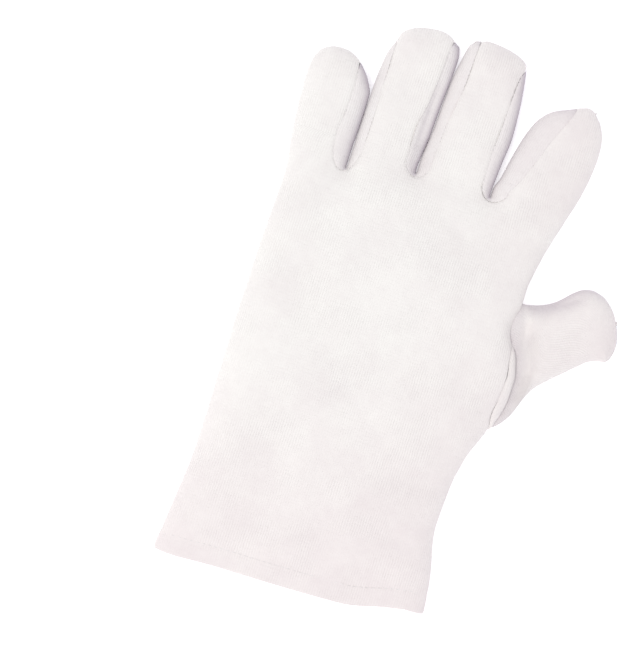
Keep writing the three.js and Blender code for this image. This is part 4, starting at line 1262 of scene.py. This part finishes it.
@dataclass
class Thumb(ClothPiece):
    """The set-in thumb: a soft closed pillow of cloth, open where it is sewn into the palm."""

    reach: float = 43.5
    thickness: float = 12.5
    neck_thickness: float = 9.4
    line: float = 0.494
    lip_cover: float = 3.2
    round_share: float = 0.85
    cap: float = 0.1
    cap_rows: float = 2.0
    tuck_rows: float = 4.0
    row_crowding: float = 1.25
    swell_share: float = 0.5
    swell_scale: float = 1.3
    # Painted shadow on the thumb beside the palm's edge: its share and its reach
    lip_shadow_share: float = 0.3
    lip_shadow_reach: float = 7.0
    across_steps: int = 44
    along_steps: int = 66
    rows: tuple[tuple[float, ...], ...] = (
        (0.03, 0.4875, 0.02, 0.789, 0), (0.16, 0.521, 0.13, 0.7945, 0.1), (0.26, 0.567, 0.23, 0.804, 0.5),
        (0.36, 0.609, 0.31, 0.8165, 0.85), (0.475, 0.637, 0.38, 0.832, 1), (0.59, 0.661, 0.45, 0.848, 1),
        (0.695, 0.687, 0.53, 0.8615, 1), (0.79, 0.707, 0.625, 0.867, 0.96), (0.88, 0.7145, 0.73, 0.8615, 0.9),
        (0.94, 0.717, 0.82, 0.8475, 0.85), (0.98, 0.727, 0.895, 0.828, 0.8), (1.0, 0.743, 0.945, 0.807, 0.8),
    )

    def edges(self, at: Array) -> tuple[Array, Array, Array]:
        """The thumb's lower and upper edges.

        Args:
            at: places along the thumb, counted in rows from the hole.

        Returns:
            Points of the lower edge, of the upper edge, and the share of its full thickness.
        """
        form = self.form
        hole = form.hole_inset * form.palm_width + form.seam_gap
        start = self.line * form.palm_width
        table = [(hole, form.hole_bottom + form.seam_gap, hole, form.hole_top - form.seam_gap, 0.0)]
        for low_out, low_up, high_out, high_up, thick in self.rows:
            table.append((start + low_out * self.reach, low_up * form.palm_length,
                          start + high_out * self.reach, high_up * form.palm_length, thick))
        lines = tracks(*((float(i), *row) for i, row in enumerate(table)))
        values = [line.at(at) for line in lines]
        return (np.stack(values[0:2], axis=-1), np.stack(values[2:4], axis=-1), values[4])

    def surface(self) -> Grid:
        """Grid round the thumb: its upper layer, then its lower one, from the hole to its closed end."""
        last = float(len(self.rows))
        at = last * (1 - (1 - np.linspace(0, 1, self.along_steps + 1)) ** self.row_crowding)
        low, high, thick = self.edges(at)
        share = spread(self.across_steps, 1.0)
        bow = high - low
        swing = np.stack([bow[:, 1], -bow[:, 0]], axis=-1) * self.cap
        late = smooth((at - last) / self.cap_rows + 1)
        bulge = swing[:, None] * np.sin(share * math.pi)[None, :, None] * late[:, None, None]
        flat = lerp(low[:, None], high[:, None], share[None, :, None]) + bulge
        # The outline runs on past the hole, so that the open end isn't rounded off
        lead = 2 * flat[0] - flat[3]
        around = np.concatenate([lead[-1:], flat[:, -1], flat[-1, ::-1], flat[::-1, 0], lead[:1]])
        around = Line(resample(around, self.form.outline_pitch))
        inset = around.near(flat.reshape(-1, 2))[0].reshape(flat.shape[:2])
        full = lerp(self.neck_thickness, self.thickness, thick)[:, None]
        middle = full * self.form.edge_height
        layers = []
        for layer in Layer:
            width = full * self.round_share if layer is Layer.BACK else self.form.under_width
            rise = self.form.rise(inset, width)
            z = middle + layer.value * rise * (full - middle if layer is Layer.BACK else middle)
            lip = self.form.glove_edge(Side.RIGHT, flat[..., 1]) - self.lip_cover
            tuck = np.maximum(lip - flat[:1, :1, 0], 0) * np.clip(1 - at / self.tuck_rows, 0, 1)[:, None]
            shift = tuck * rise * (layer.value > 0)
            layers.append(np.stack([flat[..., 0] + shift, flat[..., 1], z], axis=-1))
        return ring_grid(np.concatenate([layers[0], layers[1][:, -2:0:-1]], axis=1)[:, ::-1])

    def painted_shade(self, points: Array, normals: Array) -> Array:
        """Share of painted shade on the thumb: along its upper edge where it turns down, and a painted shadow
        where it lies under the palm's edge.
        """
        edge = self.form.glove_edge(Side.RIGHT, points[:, 1])
        lip_shadow = self.lip_shadow_share * smooth((edge + self.lip_shadow_reach - points[:, 0]) / self.lip_shadow_reach)
        return np.maximum(super().painted_shade(points, normals), lip_shadow)

    def height(self, points: Array, normals: Array) -> Array:
        """Relief: its seam, and the hollows beside the side seam and along its upper edge."""
        swell = self.swell_share * self.relief.swell(points[:, :2] * self.swell_scale)
        return self.relief.sewn(points) + swell + self.creased(points) * np.clip(normals[:, 2], 0, 1)


@dataclass
class CuffHem(ClothPiece):
    """The turned-in hem, a ring just inside the mouth of both panels."""

    panels: tuple[Panel, ...] = ()
    past_depth: float = 0.2

    def surface(self) -> Grid:
        """Grid round the mouth, from the panels' own rows."""
        loops = []
        for panel in self.panels:
            points = panel.surface().points
            if panel.layer is Layer.PALM:
                points = points[:, ::-1]
            depth = int(np.searchsorted(panel.heights(), self.form.hem_depth + self.past_depth))
            rows = points[panel.fold_steps:panel.fold_steps + depth]
            loops.append(rows if panel.layer is Layer.BACK else rows[:, -2:0:-1])
        return ring_grid(np.concatenate(loops, axis=1))

    def height(self, points: Array, normals: Array) -> Array:
        """The hem lies smooth."""
        return np.zeros(len(points))


@dataclass
class Stitching:
    """Rows of thread stitches along lines on the cloth, laid by geometry nodes."""

    name: str
    paths: list[Array]
    finish: bpy.types.Material
    stitch: float = 1.9
    pitch: float = 2.6
    thread: float = 0.34
    tilt: float = 0.12
    seed: int = 5

    def tree(self) -> bpy.types.NodeTree:
        """Nodes that lay one stitch at each step along the paths."""
        tree = bpy.data.node_groups.new(f"{self.name}_nodes", "GeometryNodeTree")
        sockets = tree.interface
        sockets.new_socket("Paths", in_out="INPUT", socket_type="NodeSocketGeometry")
        for name in ("Stitch length", "Pitch", "Thread", "Tilt"):
            sockets.new_socket(name, in_out="INPUT", socket_type="NodeSocketFloat")
        sockets.new_socket("Seed", in_out="INPUT", socket_type="NodeSocketInt")
        sockets.new_socket("Finish", in_out="INPUT", socket_type="NodeSocketMaterial")
        sockets.new_socket("Stitches", in_out="OUTPUT", socket_type="NodeSocketGeometry")
        given = add_node(tree, "NodeGroupInput").outputs
        curve = add_node(tree, "GeometryNodeMeshToCurve", inputs={"Mesh": given["Paths"]})
        steps = add_node(tree, "GeometryNodeResampleCurve", {"mode": "LENGTH"},
                         {"Curve": curve.outputs[0], "Length": given["Pitch"]})
        bead = add_node(tree, "GeometryNodeMeshUVSphere", inputs={"Segments": 6, "Rings": 5, "Radius": 0.5})
        tangent = add_node(tree, "GeometryNodeInputTangent")
        aim = add_node(tree, "FunctionNodeAlignRotationToVector", {"axis": "Z"},
                       {"Vector": tangent.outputs[0]})
        low = add_node(tree, "ShaderNodeMath", {"operation": "MULTIPLY"}, {0: given["Tilt"], 1: -1.0})
        lean = add_node(tree, "FunctionNodeRandomValue", {"data_type": "FLOAT"},
                        {2: low.outputs[0], 3: given["Tilt"], "Seed": given["Seed"]})
        turn = add_node(tree, "ShaderNodeCombineXYZ", inputs={0: lean.outputs[1], 1: lean.outputs[1]})
        turned = add_node(tree, "FunctionNodeRotateRotation", {"rotation_space": "LOCAL"},
                          {0: aim.outputs[0], 1: turn.outputs[0]})
        size = add_node(tree, "ShaderNodeCombineXYZ",
                        inputs={0: given["Thread"], 1: given["Thread"], 2: given["Stitch length"]})
        laid = add_node(tree, "GeometryNodeInstanceOnPoints",
                        inputs={"Points": steps.outputs[0], "Instance": bead.outputs[0],
                                "Rotation": turned.outputs[0], "Scale": size.outputs[0]})
        real = add_node(tree, "GeometryNodeRealizeInstances", inputs={0: laid.outputs[0]})
        round_off = add_node(tree, "GeometryNodeSetShadeSmooth", inputs={"Geometry": real.outputs[0]})
        dressed = add_node(tree, "GeometryNodeSetMaterial",
                           inputs={"Geometry": round_off.outputs[0], "Material": given["Finish"]})
        add_node(tree, "NodeGroupOutput", inputs={0: dressed.outputs[0]})
        return tree

    def build(self) -> bpy.types.Object:
        """Lay the stitches.

        Returns:
            The object, a plain mesh.
        """
        points, edges = [], []
        for path in self.paths:
            edges += [(len(points) + i, len(points) + i + 1) for i in range(len(path) - 1)]
            points += ((path + GLOVE_TO_ROW) / 1000).tolist()
        mesh = bpy.data.meshes.new(self.name)
        mesh.from_pydata(points, edges, [])
        obj = add_object(self.name, mesh)
        tree = self.tree()
        layer = obj.modifiers.new("stitches", "NODES")
        layer.node_group = tree
        values = {"Stitch length": self.stitch / 1000, "Pitch": self.pitch / 1000, "Tilt": self.tilt,
                  "Thread": self.thread / 1000, "Seed": self.seed, "Finish": self.finish}
        for socket in tree.interface.items_tree:
            if socket.in_out == "INPUT" and socket.name in values:
                layer[socket.identifier] = values[socket.name]
        shown = obj.evaluated_get(bpy.context.evaluated_depsgraph_get())
        laid = bpy.data.meshes.new_from_object(shown)
        obj.modifiers.remove(layer)
        obj.data = laid
        log.info("%s: %d faces", self.name, len(laid.polygons))
        return obj


@dataclass
class Studio:
    """A pale floor, soft light from the left and high up, and a camera straight above the glove."""

    turn: float = 18.0
    centre: tuple[float, float] = (-0.0472, -0.0138)
    glove_middle: float = 0.008
    view_height: float = 0.276
    lens: float = 100.0
    sensor: float = 36.0
    floor_reach: float = 2.0
    floor_glow: float = 0.36
    sky: str = "#fafaff"
    sky_strength: float = 0.78

    def camera(self) -> None:
        """Add the camera."""
        data = bpy.data.cameras.new("camera")
        data.lens, data.sensor_width, data.clip_start, data.clip_end = self.lens, self.sensor, 0.01, 20.0
        cam = add_object("camera", data)
        cam.location = (*self.centre, self.glove_middle + self.view_height * self.lens / self.sensor)
        cam.rotation_euler = (0.0, 0.0, math.radians(self.turn))
        bpy.context.scene.camera = cam

    def lamp(self, name: str, towards: tuple[float, float], height: float, away: float, size: float,
             power: float, colour: str) -> None:
        """Add a soft lamp that looks at the glove.

        Args:
            name: its name.
            towards: direction to it in the image, right and up.
            height: degrees above the floor.
            away: distance from the glove, in metres.
            size: width of the lamp, in metres.
            power: its power in watts.
            colour: its colour, sRGB hex.
        """
        a = math.radians(self.turn)
        right, up = Vector((math.cos(a), math.sin(a), 0)), Vector((-math.sin(a), math.cos(a), 0))
        flat = (right * towards[0] + up * towards[1]).normalized()
        e = math.radians(height)
        spot = Vector((*self.centre, 0)) + (flat * math.cos(e) + Vector((0, 0, math.sin(e)))) * away
        data = bpy.data.lights.new(name, "AREA")
        data.shape, data.size, data.energy, data.color = "DISK", size, power, linear(colour)[:3]
        lamp = add_object(name, data)
        lamp.location = spot
        lamp.rotation_euler = (Vector((*self.centre, 0)) - spot).to_track_quat("-Z", "Y").to_euler()

    def floor(self) -> None:
        """Add the floor: matt white acrylic lit from below, so that no hard shadow shows on it."""
        material, _ = new_material("backlit_white_acrylic", {
            "Base Color": linear("#fbfbfb"), "Roughness": 1.0, "Specular IOR Level": 0.0,
            "Emission Color": linear("#fbfbff"), "Emission Strength": self.floor_glow})
        mesh = bpy.data.meshes.new("floor")
        r = self.floor_reach
        mesh.from_pydata([(-r, -r, 0), (r, -r, 0), (r, r, 0), (-r, r, 0)], [], [(0, 1, 2, 3)])
        mesh.materials.append(material)
        obj = add_object("floor", mesh)

    def build(self) -> None:
        """Build the whole studio."""
        self.camera()
        self.floor()
        self.lamp("key", towards=(-1.0, -0.5), height=70, away=2.2, size=0.9, power=17.5, colour="#fffef8")
        world = bpy.data.worlds.new("studio")
        bpy.context.scene.world = world
        world.use_nodes = True
        background = world.node_tree.nodes["Background"]
        background.inputs[0].default_value = linear(self.sky)
        background.inputs[1].default_value = self.sky_strength
        bpy.context.scene.view_settings.view_transform = "Standard"


@dataclass
class Sewing:
    """Where the glove is sewn: its seams, and the lines that the stitches follow."""

    form: GloveForm
    strip_points: int = 120
    web_points: int = 41
    side_points: int = 400
    side_start: float = 1.25
    seam_pitch: float = 0.5
    hem_margin: float = 6.0
    hem_points: int = 240
    hem_pitch: float = 0.8
    hem_sunk: float = 0.2
    seam_sunk: float = 0.42
    ends_left_out: int = 12
    slope_reach: float = 0.2

    def seam_lines(self) -> list[Line]:
        """Lines of the seams on the glove's surface.

        Returns:
            The seams of the side strips on the back, then on the palm, and the two side seams.
        """
        form = self.form
        lines = []
        for layer in Layer:
            for index in range(len(form.slot_bottoms)):
                runs = []
                for side, finger in form.slot_sides(index):
                    y = np.linspace(form.start, form.corner(finger, side)[1], self.strip_points)
                    run = np.stack([form.strip_limit(finger, side, layer, y), y], axis=-1)
                    runs.append(run[::-1] if side is Side.RIGHT else run)
                web = form.web_line(index, layer, np.linspace(0, 1, self.web_points)[1:-1])
                plan = np.concatenate([runs[0], web, runs[1]])
                lines.append(Line(resample(form.skin(plan, layer), self.seam_pitch)))
        for side in Side:
            top = form.corner(form.outer_finger(side), side)[1]
            y = np.linspace(self.side_start, top, self.side_points)
            lines.append(Line(resample(form.roll(side, y, form.seam_angle(side, y)), self.seam_pitch)))
        return lines

    def sunk(self, xy: Array, layer: Layer, depth: float) -> Array:
        """Points just under the glove's skin.

        Args:
            xy: places in the plan.
            layer: the layer that they lie on.
            depth: how far under the skin.

        Returns:
            Points with three coordinates each.
        """
        skin, reach = self.form.skin, self.slope_reach
        dx = skin(xy + [reach, 0], layer) - skin(xy - [reach, 0], layer)
        dy = skin(xy + [0, reach], layer) - skin(xy - [0, reach], layer)
        return skin(xy, layer) - unit(np.cross(dx, dy)) * depth * layer.value

    def hem_paths(self, row: float) -> list[Array]:
        """Lines of the hem's stitches on both layers, a row's height up from the hem."""
        form = self.form
        left, right = form.glove_edge(Side.LEFT, row), form.glove_edge(Side.RIGHT, row)
        x = np.linspace(left + self.hem_margin, right - self.hem_margin, self.hem_points)
        plan = np.stack([x, form.hem_drop(x) + row], axis=-1)
        return [resample(self.sunk(plan, layer, self.hem_sunk), self.hem_pitch) for layer in Layer]

    def seam_paths(self, lines: list[Line]) -> list[Array]:
        """Lines of the stitches along the seams of the back, which stop short of the tips."""
        ends = self.ends_left_out
        on_back = lines[:len(self.form.slot_bottoms)]
        return [self.sunk(line.points[ends:-ends, :2], Layer.BACK, self.seam_sunk) for line in on_back]


def main() -> None:
    """Build the glove piece by piece and dress it."""
    logging.basicConfig(level=logging.INFO, format="%(name)s: %(message)s", force=True)
    form = GloveForm()
    sewing = Sewing(form)
    relief = Relief(sewing.seam_lines())
    white = InterlockFinish("cotton_interlock_white").make()
    # The side strips and the hem get a slightly darker copy of the cloth, painted shade for the gaps and the
    # mouth
    strip = InterlockFinish("cotton_interlock_shaded_strip", white="#f6f4f1", shade="#e8e2e1").make()
    inside = InterlockFinish("cotton_interlock_shaded_hem", white="#f6f4f1", shade="#e8e2e1").make()
    back = Panel("back_cloth", "white_jersey", white, relief, form, layer=Layer.BACK, creases=(
        Crease((11.5, 55.2), (50.6, 60.7), 5.2, 1.3),
        Crease((25.3, 36.8), (49.4, 30.4), 4.6, 1.1),
        Crease((9.2, 171.1), (31.0, 160.1), 3.4, 0.6),
    ))
    palm = Panel("palm_cloth", "white_jersey", white, relief, form, layer=Layer.PALM)
    pieces = [(back, "back_panel"), (palm, "palm_panel")]
    # The next finger presses the strip between ring and middle finger in
    pressed = {"ring_middle": (Crease((-6.9, 184.0), (-4.8, 236.0), 2.1, 1.3),)}
    for index, (one, other) in enumerate(zip(form.fingers, form.fingers[1:])):
        name = f"{one.name}_{other.name}"
        # Each strip gets painted shade where it faces right or towards the fingertips, low in the gap
        piece = Fourchette(f"side_strip_{name}", "white_side_strip", strip, relief, form, index=index,
                           creases=pressed.get(name, ()), shade_facing=(0.9, 0.8))
        pieces.append((piece, f"fourchette_{name}"))
    # The thumb gets painted shade along its upper edge, at half strength
    thumb = Thumb("thumb_cloth", "white_jersey", white, relief, form, creases=(
        Crease((64.7, 125.5), (59.8, 141.5), 2.3, 1.8),
        Crease((58.0, 147.0), (86.0, 159.5), 5.5, 3.2),
        Crease((66.5, 119.0), (65.0, 100.0), 2.5, 1.3),
    ), shade_facing=(-0.6, 0.8), shade_strength=0.5)
    hem = CuffHem("hem_cloth", "white_hem", inside, relief, form, wall=1.0, outer=1.5, panels=(back, palm))
    pieces += [(thumb, "thumb"), (hem, "cuff_hem")]
    for piece, node in pieces:
        obj = piece.build()
        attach(obj, "root")
        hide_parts(node)
    thread = ThreadFinish().make()
    for rows in (Stitching("hem_stitches", sewing.hem_paths(back.hem_row), thread),
                 Stitching("seam_stitches", sewing.seam_paths(relief.seams), thread,
                           stitch=1.5, pitch=1.7, thread=0.36)):
        obj = rows.build()
        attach(obj, "root")
    Studio().build()


if __name__ == "__main__":
    main()
